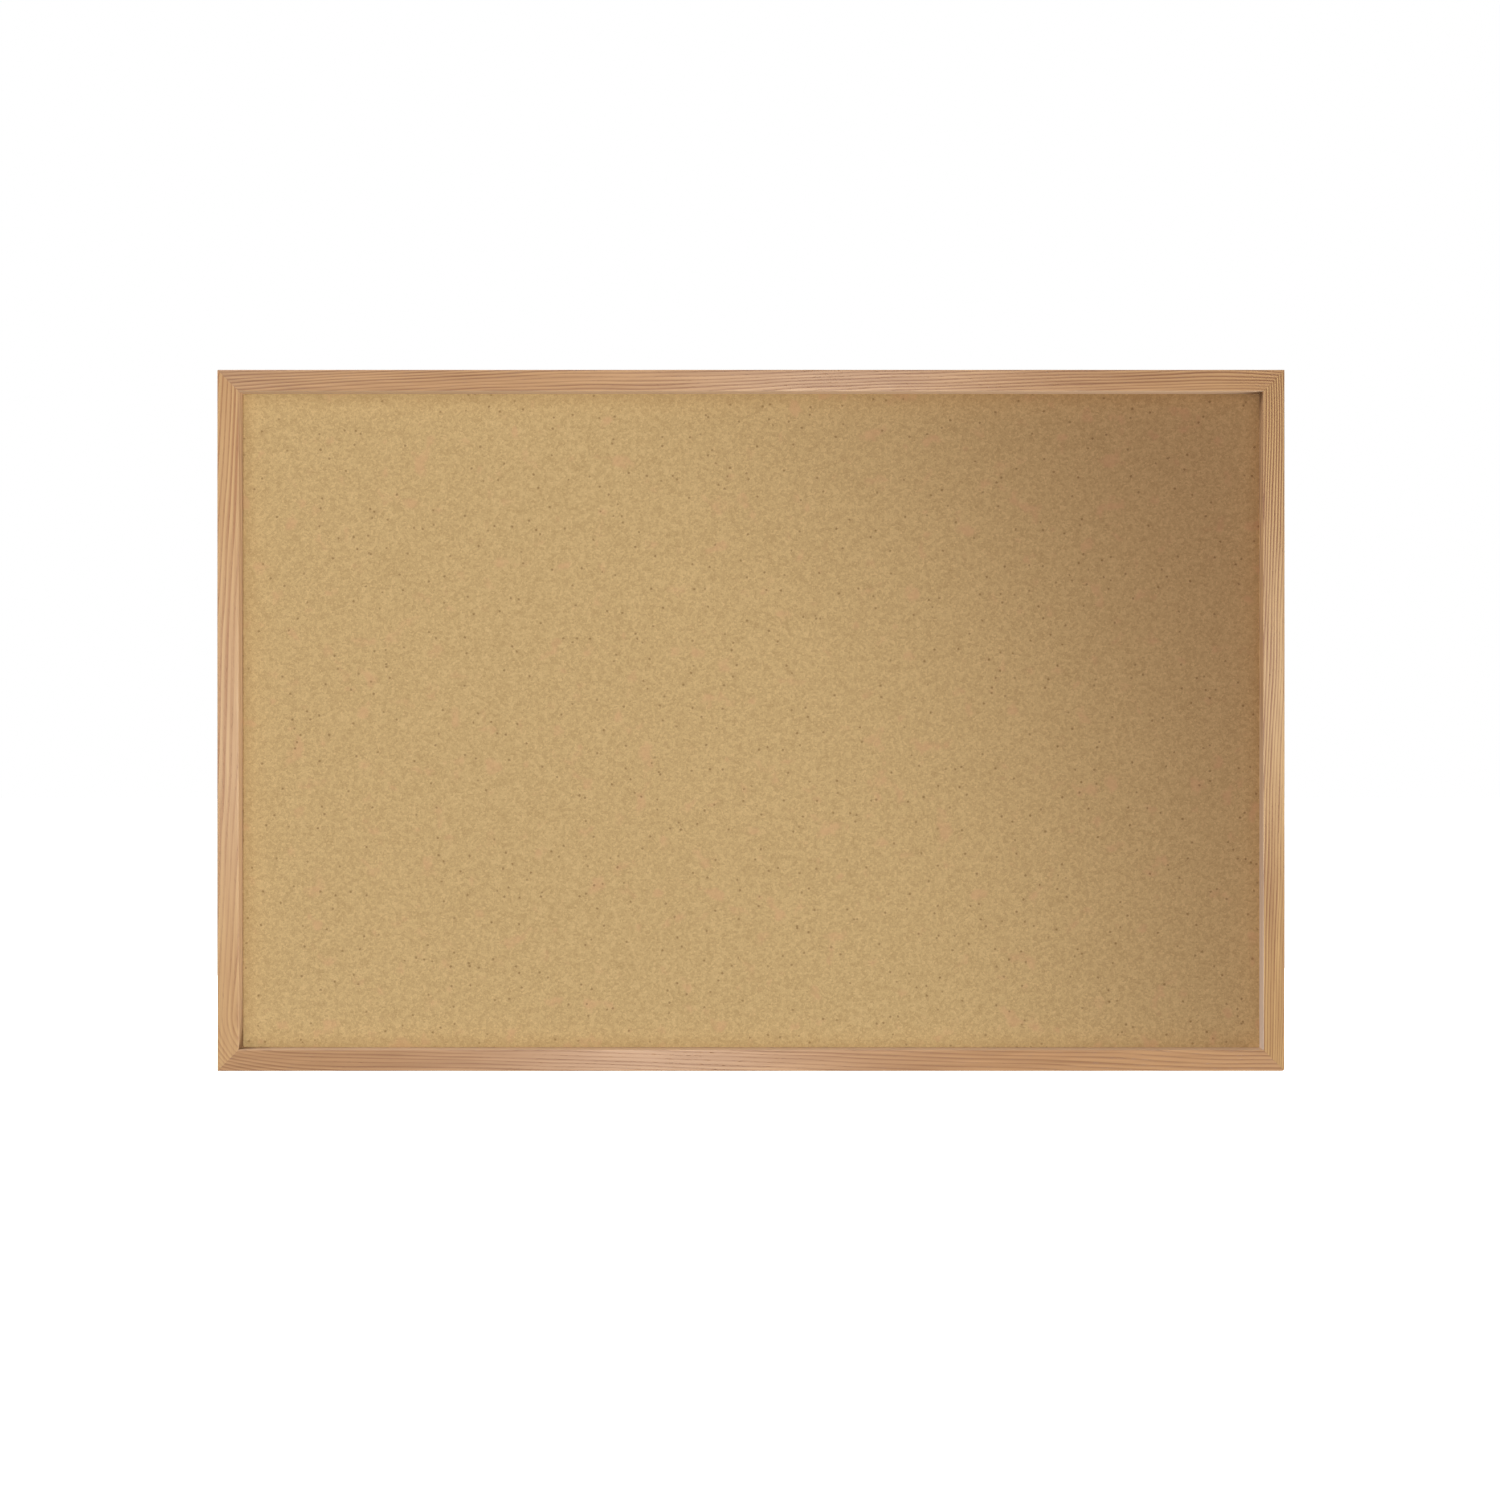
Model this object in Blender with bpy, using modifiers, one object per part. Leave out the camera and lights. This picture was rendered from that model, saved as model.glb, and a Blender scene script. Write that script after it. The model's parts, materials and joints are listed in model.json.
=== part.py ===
"""Framed cork bulletin board, 35 x 23 in, for hanging on a wall.

Metres, +Z up. The front faces -Y, +X is the viewer's right, and the origin is the middle of the
wall plane, where the rear faces of the two bumpers touch the wall.
"""

import math

import bmesh
import bpy
from mathutils import Euler, Matrix, Vector

MM = 0.001

# Driving dimensions
BOARD_WIDTH = 889.0 * MM
BOARD_HEIGHT = 584.2 * MM
FRAME_FACE = 18.0 * MM  # width of the oak moulding, seen from the front
FRAME_DEPTH = 19.0 * MM
LIP_DEPTH = 9.5 * MM  # from the frame's front down to the cork
LIP_WIDTH = 6.0 * MM  # how far the lip covers the panel
WALL_STANDOFF = 4.0 * MM
FIT = 0.3 * MM  # clearance left between pieces that touch or are glued
LAYER_GAP = 0.2 * MM  # the same between the panel's thin layers

# Planes across the depth
BACK_Y = -WALL_STANDOFF
FRONT_Y = BACK_Y - FRAME_DEPTH
LIP_Y = FRONT_Y + LIP_DEPTH
BACK_WOOD = FRAME_FACE - LIP_WIDTH  # wood left beside the rabbet

# Edges of the moulding
FRONT_OUTER_ROUND = 1.2 * MM
FRONT_INNER_ROUND = 0.8 * MM
BACK_OUTER_ROUND = 0.8 * MM
BACK_INNER_ROUND = 0.4 * MM
ROUND_STEPS = 4

# Panel: three glued layers held in the rabbet
PANEL_PLAY = 1.0 * MM  # between the panel's edge and the rabbet
CORK_THICKNESS = 2.0 * MM
CORK_SWELL = 0.25 * MM  # the cork is pressed down under the lip and stands up inside it
CORE_THICKNESS = 5.0 * MM
PAPER_THICKNESS = 0.4 * MM
PAPER_INSET = 3.0 * MM
CORK_FRONT_Y = LIP_Y + FIT
CORE_FRONT_Y = CORK_FRONT_Y + CORK_THICKNESS + LAYER_GAP
PAPER_FRONT_Y = CORE_FRONT_Y + CORE_THICKNESS + LAYER_GAP
PAPER_BACK_Y = PAPER_FRONT_Y + PAPER_THICKNESS

# Steel points that hold the panel in the rabbet
POINT_LENGTH = 15.0 * MM
POINT_WIDTH = 7.0 * MM
POINT_TIP = 3.5 * MM
POINT_THICKNESS = 0.5 * MM
POINT_DRIVEN = 6.0 * MM
POINT_CORNER = 0.8 * MM
POINT_FRONT_Y = PAPER_BACK_Y + LAYER_GAP
POINT_PLAY = 0.15 * MM
LONG_RAIL_POINTS = [-330 * MM, -110 * MM, 110 * MM, 330 * MM]
SHORT_RAIL_POINTS = [-150 * MM, 0.0, 150 * MM]

# V-nails driven from the back across each mitre
NAIL_DEPTH = 8.0 * MM
NAIL_THICKNESS = 0.45 * MM
NAIL_LEG = 5.0 * MM
NAIL_CURL = 0.6 * MM
NAIL_RECESS = 0.2 * MM
NAIL_PLAY = 0.15 * MM
NAIL_VERTEX = {"outer": 3.2 * MM, "inner": 7.2 * MM}  # from the board's two outer edges

# D-ring hangers on the backs of the stiles
HANGER_DROP = 60.0 * MM  # ring's axis below the board's top edge
HANGER_INSET = 7.5 * MM  # ring's middle from the board's side edge
STRAP_WIDTH = 8.0 * MM
STRAP_THICKNESS = 0.6 * MM
STRAP_LENGTH = 35.0 * MM
STRAP_END_ROUND = 2.5 * MM
STRAP_PLAY = 0.2 * MM
STRAP_LAYER_GAP = 0.1 * MM
LOOP_RADIUS = 1.45 * MM  # middle of the strip that wraps the ring's bar
LOOP_WRAP = math.radians(230)
LOOP_STEPS = 14
RING_WIRE = 0.9 * MM  # radius
RING_WIDTH = 12.2 * MM  # between wire middles
RING_REACH = 10.5 * MM  # from the bar's middle to the far end's middle
RING_CORNER = 1.6 * MM
RING_REST_GAP = 0.2 * MM
RING_BOW_STEPS = 16
SCREW_DROPS = {"upper": 17.0 * MM, "lower": 29.0 * MM}  # below the ring's axis
STRAP_STACK = STRAP_PLAY + 2 * STRAP_THICKNESS + STRAP_LAYER_GAP  # wood to the strap's rear face
RING_AXIS_Y = BACK_Y + STRAP_PLAY + STRAP_THICKNESS / 2 + LOOP_RADIUS
STRAP_REAR = BACK_Y + STRAP_STACK - RING_AXIS_Y  # the strap's rear face, from the ring's axis

# Pan-head wood screws of the hangers
SCREW_HEAD_RADIUS = 2.6 * MM
SCREW_HEAD_HEIGHT = 1.6 * MM
SCREW_CREST = 1.45 * MM
SCREW_CORE = 1.0 * MM
SCREW_PITCH = 1.3 * MM
SCREW_THREADS = 7
SCREW_TIP = 1.6 * MM
SCREW_PLAY = 0.15 * MM
RECESS_WIDTH = 0.55 * MM
RECESS_SPAN = 2.6 * MM
RECESS_DEPTH = 0.9 * MM
SCREW_SIDES = 16
SCREW_HEAD_STEPS = 5

# Rubber bumpers at the foot of the back
BUMPER_RADIUS = 5.0 * MM
BUMPER_TOP_RADIUS = 4.0 * MM
BUMPER_FROM_SIDE = 26.0 * MM
BUMPER_SHOULDER_TURN = 1.2
BUMPER_SHOULDER_STEPS = 5
BUMPER_SIDES = 32
GLUE = 0.1 * MM

PAST = 1.0 * MM  # how far a cutter runs past the face it cuts
MERGE = 0.001 * MM  # points closer than this become one

# Each rail is built as the bottom one and turned about Y: turn in degrees, length, distance from the
# board's middle to the outer edge, and where its panel points are
RAILS = {
    "frame_rail_bottom": (0, BOARD_WIDTH, BOARD_HEIGHT / 2, LONG_RAIL_POINTS),
    "frame_stile_left": (90, BOARD_HEIGHT, BOARD_WIDTH / 2, SHORT_RAIL_POINTS),
    "frame_rail_top": (180, BOARD_WIDTH, BOARD_HEIGHT / 2, LONG_RAIL_POINTS),
    "frame_stile_right": (270, BOARD_HEIGHT, BOARD_WIDTH / 2, SHORT_RAIL_POINTS),
}
SIDES = {"left": -1, "right": 1}
ENDS = {"bottom": -1, "top": 1}

# Axes of a flat outline (its X, Y and thickness) laid into the board's frame
IN_YZ = Matrix(((0, 0, 1), (1, 0, 0), (0, 1, 0))).to_4x4()  # thickness along X
IN_XZ = Matrix(((1, 0, 0), (0, 0, -1), (0, 1, 0))).to_4x4()  # thickness along -Y
ALONG_Y = (-math.pi / 2, 0.0, 0.0)  # turns a piece's own Z to the board's Y
ORIGIN = (0.0, 0.0, 0.0)

MATERIALS = {
    "oak": ((0.50, 0.30, 0.17), 0.45, 0.0),
    "cork": ((0.55, 0.36, 0.17), 0.95, 0.0),
    "fibreboard": ((0.30, 0.20, 0.12), 0.90, 0.0),
    "kraft_paper": ((0.48, 0.31, 0.18), 0.85, 0.0),
    "nail_steel": ((0.30, 0.31, 0.33), 0.40, 1.0),
    "zinc_steel": ((0.62, 0.62, 0.60), 0.32, 1.0),
    "rubber": ((0.03, 0.03, 0.03), 0.60, 0.0),
}


def clear_scene():
    for obj in list(bpy.data.objects):
        bpy.data.objects.remove(obj)


def new_collection(name):
    collection = bpy.data.collections.new(name)
    bpy.context.scene.collection.children.link(collection)
    return collection


def new_materials():
    made = {}
    for name, (colour, roughness, metallic) in MATERIALS.items():
        material = bpy.data.materials.new(name)
        material.use_nodes = True
        shader = material.node_tree.nodes["Principled BSDF"]
        shader.inputs["Base Color"].default_value = (*colour, 1.0)
        shader.inputs["Roughness"].default_value = roughness
        shader.inputs["Metallic"].default_value = metallic
        made[name] = material
    return made


def new_cutters(name):
    """An empty collection of cutters for one part, inside the cutters' collection."""
    collection = bpy.data.collections.new(name)
    cutters.children.link(collection)
    return collection


def add_part(name, mesh, material, location=ORIGIN, rotation=ORIGIN):
    obj = bpy.data.objects.new(name, mesh)
    obj.location = location
    obj.rotation_euler = rotation
    mesh.materials.clear()
    mesh.materials.append(materials[material])
    parts.objects.link(obj)
    return obj


def add_cutter(name, mesh, collections, location=ORIGIN, rotation=ORIGIN):
    obj = bpy.data.objects.new(name, mesh)
    obj.location = location
    obj.rotation_euler = rotation
    obj.hide_render = True
    obj.display_type = "WIRE"
    for collection in collections:
        collection.objects.link(obj)
    return obj


def boolean(obj, operation, cutter):
    modifier = obj.modifiers.new(operation.lower(), "BOOLEAN")
    modifier.operation = operation
    if isinstance(cutter, bpy.types.Collection):
        modifier.operand_type = "COLLECTION"
        modifier.collection = cutter
    else:
        modifier.object = cutter
    return modifier


def smooth(mesh, angle=35):
    mesh.shade_smooth()
    mesh.set_sharp_from_angle(angle=math.radians(angle))
    return mesh


def arc(centre, radius, start, turn, steps):
    """Points along an arc, from the angle start through turn, both ends included."""
    points = []
    for i in range(steps + 1):
        angle = start + turn * i / steps
        points.append((centre[0] + radius * math.cos(angle), centre[1] + radius * math.sin(angle)))
    return points


def rounded(corners):
    """A closed outline from (x, y, radius) corners, with an arc at each corner that has a radius."""
    points = []
    for i, (x, y, radius) in enumerate(corners):
        corner = Vector((x, y))
        if not radius:
            points.append((x, y))
            continue
        to_last = (Vector(corners[i - 1][:2]) - corner).normalized()
        to_next = (Vector(corners[(i + 1) % len(corners)][:2]) - corner).normalized()
        half = to_last.angle(to_next) / 2
        centre = corner + (to_last + to_next).normalized() * radius / math.sin(half)
        start = corner + to_last * radius / math.tan(half) - centre
        end = corner + to_next * radius / math.tan(half) - centre
        first = math.atan2(start.y, start.x)
        turn = (math.atan2(end.y, end.x) - first + math.pi) % math.tau - math.pi
        points += arc(centre, radius, first, turn, ROUND_STEPS)
    return points


def curve_mesh(points, matrix, extrude=0.0, bevel=0.0, closed=True, bevel_resolution=2):
    """The welded mesh of a poly curve in its own XY plane, extruded or bevelled, laid by matrix."""
    curve = bpy.data.curves.new("outline", "CURVE")
    flat = closed and not bevel
    curve.dimensions = "2D" if flat else "3D"
    curve.fill_mode = "BOTH" if flat else "FULL"
    curve.extrude = extrude
    curve.bevel_depth = bevel
    curve.bevel_resolution = bevel_resolution
    spline = curve.splines.new("POLY")
    spline.points.add(len(points) - 1)
    for point, place in zip(spline.points, points):
        point.co = (place[0], place[1], 0.0, 1.0)
    spline.use_cyclic_u = closed
    holder = bpy.data.objects.new("outline", curve)
    bpy.context.scene.collection.objects.link(holder)
    graph = bpy.context.evaluated_depsgraph_get()
    mesh = bpy.data.meshes.new_from_object(holder.evaluated_get(graph))
    bpy.data.objects.remove(holder)
    shape = bmesh.new()
    shape.from_mesh(mesh)
    bmesh.ops.remove_doubles(shape, verts=shape.verts, dist=MERGE)
    bmesh.ops.transform(shape, matrix=matrix, verts=shape.verts)
    bmesh.ops.recalc_face_normals(shape, faces=shape.faces)
    shape.to_mesh(mesh)
    shape.free()
    return mesh


def prism(points, matrix, low, high):
    """A closed outline extruded from low to high along the axis that matrix gives its thickness."""
    middle = Matrix.Translation((0, 0, (low + high) / 2))
    return curve_mesh(points, matrix @ middle, extrude=(high - low) / 2)


def plate(points, low, high):
    """A closed outline in (x, z) made solid from y = low to y = high."""
    return prism(points, IN_XZ, -high, -low)


def box(low, high):
    mesh = bpy.data.meshes.new("box")
    shape = bmesh.new()
    size = [b - a for a, b in zip(low, high)]
    middle = [(a + b) / 2 for a, b in zip(low, high)]
    place = Matrix.Translation(middle) @ Matrix.Diagonal((*size, 1.0))
    bmesh.ops.create_cube(shape, size=1.0, matrix=place)
    shape.to_mesh(mesh)
    shape.free()
    return mesh


def turned(profile, sides):
    """A solid turned about Z from (radius, height) points that run down its outer side."""
    mesh = bpy.data.meshes.new("profile")
    vertices = [(radius, 0.0, height) for radius, height in profile]
    edges = [(i, i + 1) for i in range(len(vertices) - 1)]
    mesh.from_pydata(vertices, edges, [])
    holder = bpy.data.objects.new("profile", mesh)
    bpy.context.scene.collection.objects.link(holder)
    screw = holder.modifiers.new("turn", "SCREW")
    screw.steps = screw.render_steps = sides
    screw.use_merge_vertices = True
    screw.merge_threshold = MERGE
    graph = bpy.context.evaluated_depsgraph_get()
    made = bpy.data.meshes.new_from_object(holder.evaluated_get(graph))
    bpy.data.objects.remove(holder)
    return smooth(made)


def rail_outline(outer):
    """The moulding's section in (y, z), its outer edge at z = -outer and the rabbet at the back."""
    inner = -outer + FRAME_FACE
    rabbet = -outer + BACK_WOOD
    return rounded(
        [
            (FRONT_Y, -outer, FRONT_OUTER_ROUND),
            (BACK_Y, -outer, BACK_OUTER_ROUND),
            (BACK_Y, rabbet, BACK_INNER_ROUND),
            (LIP_Y, rabbet, 0),
            (LIP_Y, inner, 0),
            (FRONT_Y, inner, FRONT_INNER_ROUND),
        ]
    )


def cut_mitre(mesh, length, outer, end):
    """Cuts the rail's end on the 45 degree plane through the board's corner and caps it."""
    normal = Vector((end, 0, 1)).normalized()
    corner = Vector((end * length / 2, 0, -outer))
    shape = bmesh.new()
    shape.from_mesh(mesh)
    geometry = shape.verts[:] + shape.edges[:] + shape.faces[:]
    bmesh.ops.bisect_plane(
        shape,
        geom=geometry,
        plane_co=corner - normal * FIT / 2,
        plane_no=normal,
        clear_outer=True,
    )
    open_edges = [edge for edge in shape.edges if edge.is_boundary]
    bmesh.ops.holes_fill(shape, edges=open_edges, sides=0)
    bmesh.ops.recalc_face_normals(shape, faces=shape.faces)
    shape.to_mesh(mesh)
    shape.free()


def point_mesh(grow):
    """A panel point about the place where it enters the wood: a plate whose tip lies below z = 0."""
    half = POINT_WIDTH / 2 + grow
    inside = POINT_LENGTH - POINT_DRIVEN + grow
    tip = -POINT_DRIVEN - grow
    outline = rounded(
        [
            (-half, inside, POINT_CORNER),
            (half, inside, POINT_CORNER),
            (half, tip + POINT_TIP, 0),
            (0.0, tip, 0),
            (-half, tip + POINT_TIP, 0),
        ]
    )
    return plate(outline, -grow, POINT_THICKNESS + grow)


def make_points(side, rotation, outer, places, slots):
    """The steel points along one rail's rabbet wall, with the slots that they are driven into."""
    point = point_mesh(0.0)
    slot = point_mesh(POINT_PLAY)
    for number, middle in enumerate(places, 1):
        location = rotation.to_matrix() @ Vector((middle, POINT_FRONT_Y, -outer + BACK_WOOD))
        add_part(f"panel_point_{side}_{number}", point, "nail_steel", location, rotation)
        add_cutter(f"cut_point_{side}_{number}", slot, [slots], location, rotation)


def make_rail(name, turn, length, outer, points):
    """One mitred rail, slotted for the panel points that its rabbet wall holds."""
    rotation = Euler((0.0, math.radians(turn), 0.0))
    mesh = prism(rail_outline(outer), IN_YZ, -length / 2, length / 2)
    for end in ENDS.values():
        cut_mitre(mesh, length, outer, end)
    slots = new_cutters(name + "_cutters")
    rail = add_part(name, smooth(mesh), "oak", rotation=rotation)
    boolean(rail, "DIFFERENCE", slots)
    make_points(name.split("_")[-1], rotation, outer, points, slots)
    return slots


def thickened(mesh, thickness):
    """An open sheet made solid, half its thickness to each side."""
    holder = bpy.data.objects.new("sheet", mesh)
    bpy.context.scene.collection.objects.link(holder)
    solidify = holder.modifiers.new("thickness", "SOLIDIFY")
    solidify.thickness = thickness
    solidify.offset = 0.0
    solidify.use_even_offset = True
    graph = bpy.context.evaluated_depsgraph_get()
    made = bpy.data.meshes.new_from_object(holder.evaluated_get(graph))
    bpy.data.objects.remove(holder)
    return made


def nail_mesh(side, end, vertex, thickness, low, high):
    """A V of folded strip about the board's corner, from y = low to y = high. Its legs run along the
    two rails and their ends curl outwards."""
    curl_start = vertex + NAIL_LEG - NAIL_CURL
    path = [
        (vertex - NAIL_CURL, vertex + NAIL_LEG),
        (vertex, curl_start),
        (vertex, vertex),
        (curl_start, vertex),
        (vertex + NAIL_LEG, vertex - NAIL_CURL),
    ]
    path = [(-side * x, -end * z) for x, z in path]
    middle = IN_XZ @ Matrix.Translation((0, 0, -(low + high) / 2))
    mesh = curve_mesh(path, middle, extrude=(high - low) / 2, closed=False)
    return thickened(mesh, thickness)


def make_corner(end_name, side_name, rail_slots):
    """Two V-nails across one mitre, with slots for them in both rails."""
    end, side = ENDS[end_name], SIDES[side_name]
    corner = (side * BOARD_WIDTH / 2, BACK_Y - NAIL_RECESS, end * BOARD_HEIGHT / 2)
    owners = [rail_slots[f"frame_rail_{end_name}"], rail_slots[f"frame_stile_{side_name}"]]
    for place, vertex in NAIL_VERTEX.items():
        name = f"v_nail_{end_name}_{side_name}_{place}"
        mesh = nail_mesh(side, end, vertex, NAIL_THICKNESS, -NAIL_DEPTH, 0.0)
        add_part(name, mesh, "nail_steel", corner)
        wide = NAIL_THICKNESS + 2 * NAIL_PLAY
        mesh = nail_mesh(side, end, vertex, wide, -NAIL_DEPTH - NAIL_PLAY, NAIL_RECESS + PAST)
        add_cutter("cut_" + name, mesh, owners, corner)


def panel_layer(thickness, inset=0.0):
    """A sheet that fills the rabbet up to the panel's play and the inset, its front face at y = 0."""
    x = BOARD_WIDTH / 2 - BACK_WOOD - PANEL_PLAY - inset
    z = BOARD_HEIGHT / 2 - BACK_WOOD - PANEL_PLAY - inset
    return box((-x, 0.0, -z), (x, thickness, z))


def swell_front(mesh):
    """Raises the front face inside the lip, whose pressure holds the rest of it down."""
    shape = bmesh.new()
    shape.from_mesh(mesh)
    front = [face for face in shape.faces if face.calc_center_median().y < MERGE]
    under_lip = LIP_WIDTH - PANEL_PLAY
    bmesh.ops.inset_region(shape, faces=front, thickness=under_lip, use_even_offset=True)
    bmesh.ops.inset_region(
        shape, faces=front, thickness=FIT, depth=CORK_SWELL, use_even_offset=True
    )
    shape.to_mesh(mesh)
    shape.free()


def make_panel():
    """The cork sheet, the fibreboard core and the kraft paper that balances it at the back."""
    cork = panel_layer(CORK_THICKNESS)
    swell_front(cork)
    add_part("cork_sheet", cork, "cork", (0.0, CORK_FRONT_Y, 0.0))
    core = panel_layer(CORE_THICKNESS)
    add_part("fibreboard_core", core, "fibreboard", (0.0, CORE_FRONT_Y, 0.0))
    paper = panel_layer(PAPER_THICKNESS, PAPER_INSET)
    add_part("kraft_backing_paper", paper, "kraft_paper", (0.0, PAPER_FRONT_Y, 0.0))


def strap_path():
    """The folded strip in (y, z) about the ring's axis: up the wood, round the bar and back down."""
    near = -LOOP_RADIUS
    far = near + STRAP_THICKNESS + STRAP_LAYER_GAP
    loop = arc((0.0, 0.0), LOOP_RADIUS, math.pi, -LOOP_WRAP, LOOP_STEPS)
    end_y, end_z = loop[-1]
    heading = math.pi / 2 - LOOP_WRAP
    run = (far - end_y) / math.cos(heading)
    landing = (far, end_z + run * math.sin(heading))
    return [(near, -STRAP_LENGTH), *loop, landing, (far, -STRAP_LENGTH)]


def make_strap(side_name, axis, holes):
    """The strap as a wide folded strip, trimmed to its width and to its rounded end."""
    half = STRAP_WIDTH / 2
    sheet = curve_mesh(strap_path(), IN_YZ, extrude=half + PAST, closed=False)
    mesh = smooth(thickened(sheet, STRAP_THICKNESS))
    strap = add_part("hanger_strap_" + side_name, mesh, "zinc_steel", axis)
    above, end = 2 * LOOP_RADIUS, PAST - STRAP_LENGTH
    outline = rounded(
        [
            (-half, above, 0),
            (-half, end, STRAP_END_ROUND),
            (half, end, STRAP_END_ROUND),
            (half, above, 0),
        ]
    )
    trim = add_cutter("trim_strap_" + side_name, plate(outline, -above, above), [cutters], axis)
    boolean(strap, "INTERSECT", trim)
    boolean(strap, "DIFFERENCE", holes)


def screw_profile():
    """A pan head over a ridged shank, from the middle of the head down to the tip."""
    head = arc((0.0, 0.0), 1.0, math.pi / 2, -math.pi / 2, SCREW_HEAD_STEPS)
    profile = [(x * SCREW_HEAD_RADIUS, y * SCREW_HEAD_HEIGHT) for x, y in head]
    profile.append((SCREW_CORE, 0.0))
    depth = STRAP_STACK
    for _ in range(SCREW_THREADS):
        profile.append((SCREW_CORE, -depth))
        profile.append((SCREW_CREST, -depth - SCREW_PITCH / 2))
        depth += SCREW_PITCH
    profile.append((SCREW_CORE, -depth))
    profile.append((0.0, -depth - SCREW_TIP))
    return profile


def make_hanger_screw(name, seat, hole_owners):
    """A screw driven along -Y, its head on the seat, with its crossed recess and its hole."""
    screw = add_part(name, turned(screw_profile(), SCREW_SIDES), "zinc_steel", seat, ALONG_Y)
    for turn in (0, 90):
        bar = box(
            (-RECESS_SPAN / 2, -RECESS_WIDTH / 2, SCREW_HEAD_HEIGHT - RECESS_DEPTH),
            (RECESS_SPAN / 2, RECESS_WIDTH / 2, SCREW_HEAD_HEIGHT + PAST),
        )
        bar.transform(Matrix.Rotation(math.radians(turn), 4, "Z"))
        cutter = add_cutter(f"cut_{name}_{turn}", bar, [cutters], seat, ALONG_Y)
        boolean(screw, "DIFFERENCE", cutter)
    radius = SCREW_CREST + SCREW_PLAY
    depth = STRAP_STACK + SCREW_THREADS * SCREW_PITCH + SCREW_TIP + PAST
    hole = turned([(0.0, PAST), (radius, PAST), (radius, -depth), (0.0, -depth)], SCREW_SIDES)
    add_cutter("cut_" + name, hole, hole_owners, seat, ALONG_Y)


def make_ring(side_name, axis):
    """A D of round wire that hangs folded down over its strap, its origin on the hinge axis."""
    half = RING_WIDTH / 2
    low = half - RING_REACH
    bar = [(-half, low, 0), (-half, 0.0, RING_CORNER), (half, 0.0, RING_CORNER), (half, low, 0)]
    bow = arc((0.0, low), half, 0.0, -math.pi, RING_BOW_STEPS)
    mesh = smooth(curve_mesh(rounded(bar) + bow[1:-1], IN_XZ, bevel=RING_WIRE))
    tilt = math.asin((STRAP_REAR + RING_WIRE + RING_REST_GAP) / RING_REACH)
    add_part("hanger_ring_" + side_name, mesh, "zinc_steel", axis, (tilt, 0.0, 0.0))


def make_hanger(side_name, rail_slots):
    """A two-screw strap folded round the bar of a D-ring, on the back of one stile."""
    x = SIDES[side_name] * (BOARD_WIDTH / 2 - HANGER_INSET)
    axis = Vector((x, RING_AXIS_Y, BOARD_HEIGHT / 2 - HANGER_DROP))
    strap_holes = new_cutters(f"hanger_strap_{side_name}_cutters")
    make_strap(side_name, axis, strap_holes)
    for label, drop in SCREW_DROPS.items():
        seat = axis + Vector((0.0, STRAP_REAR + GLUE, -drop))
        make_hanger_screw(f"hanger_screw_{side_name}_{label}", seat, [strap_holes, rail_slots])
    make_ring(side_name, axis)


def make_bumper(side_name):
    """A rubber foot that keeps the board's bottom off the wall; its rear face is the wall plane."""
    x = SIDES[side_name] * (BOARD_WIDTH / 2 - BUMPER_FROM_SIDE)
    z = -BOARD_HEIGHT / 2 + BACK_WOOD / 2
    height = WALL_STANDOFF - GLUE
    edge = BUMPER_RADIUS - BUMPER_TOP_RADIUS
    middle = (BUMPER_TOP_RADIUS - edge, height - edge)
    shoulder = arc(middle, edge, math.pi / 2, -BUMPER_SHOULDER_TURN, BUMPER_SHOULDER_STEPS)
    profile = [(0.0, height), *shoulder, (BUMPER_RADIUS, 0.0), (0.0, 0.0)]
    mesh = turned(profile, BUMPER_SIDES)
    add_part("bumper_" + side_name, mesh, "rubber", (x, BACK_Y + GLUE, z), ALONG_Y)


clear_scene()
parts = new_collection("Cork bulletin board")
cutters = new_collection("cutters")
cutters.hide_render = True
materials = new_materials()

rail_cutters = {name: make_rail(name, *rail) for name, rail in RAILS.items()}
for end_label in ENDS:
    for side_label in SIDES:
        make_corner(end_label, side_label, rail_cutters)
make_panel()
for side_label in SIDES:
    make_hanger(side_label, rail_cutters[f"frame_stile_{side_label}"])
    make_bumper(side_label)
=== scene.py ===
"""Looks for the framed cork bulletin board: oak rails, cork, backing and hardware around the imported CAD.

Metres, +Z up, in the row frame: the front faces -Y and the wall is the plane y = 0.
"""

import json
import math
import random

import bmesh
import bpy
from mathutils import Matrix, Vector, noise


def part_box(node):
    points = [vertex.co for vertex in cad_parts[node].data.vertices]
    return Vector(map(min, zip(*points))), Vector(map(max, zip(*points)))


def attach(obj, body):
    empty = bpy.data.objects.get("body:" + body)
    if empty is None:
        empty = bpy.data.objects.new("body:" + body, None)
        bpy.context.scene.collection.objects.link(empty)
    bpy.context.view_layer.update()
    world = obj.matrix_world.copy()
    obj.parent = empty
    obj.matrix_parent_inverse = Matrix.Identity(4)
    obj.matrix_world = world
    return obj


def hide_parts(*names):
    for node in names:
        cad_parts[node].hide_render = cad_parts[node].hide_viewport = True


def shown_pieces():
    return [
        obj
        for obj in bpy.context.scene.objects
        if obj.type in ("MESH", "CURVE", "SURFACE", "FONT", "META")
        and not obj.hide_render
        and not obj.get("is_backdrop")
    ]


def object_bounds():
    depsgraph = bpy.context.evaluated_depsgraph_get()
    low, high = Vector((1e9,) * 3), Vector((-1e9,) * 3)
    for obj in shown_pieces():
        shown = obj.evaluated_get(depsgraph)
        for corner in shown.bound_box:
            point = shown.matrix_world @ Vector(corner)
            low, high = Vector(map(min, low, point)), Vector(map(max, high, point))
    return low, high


MM = 0.001
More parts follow.
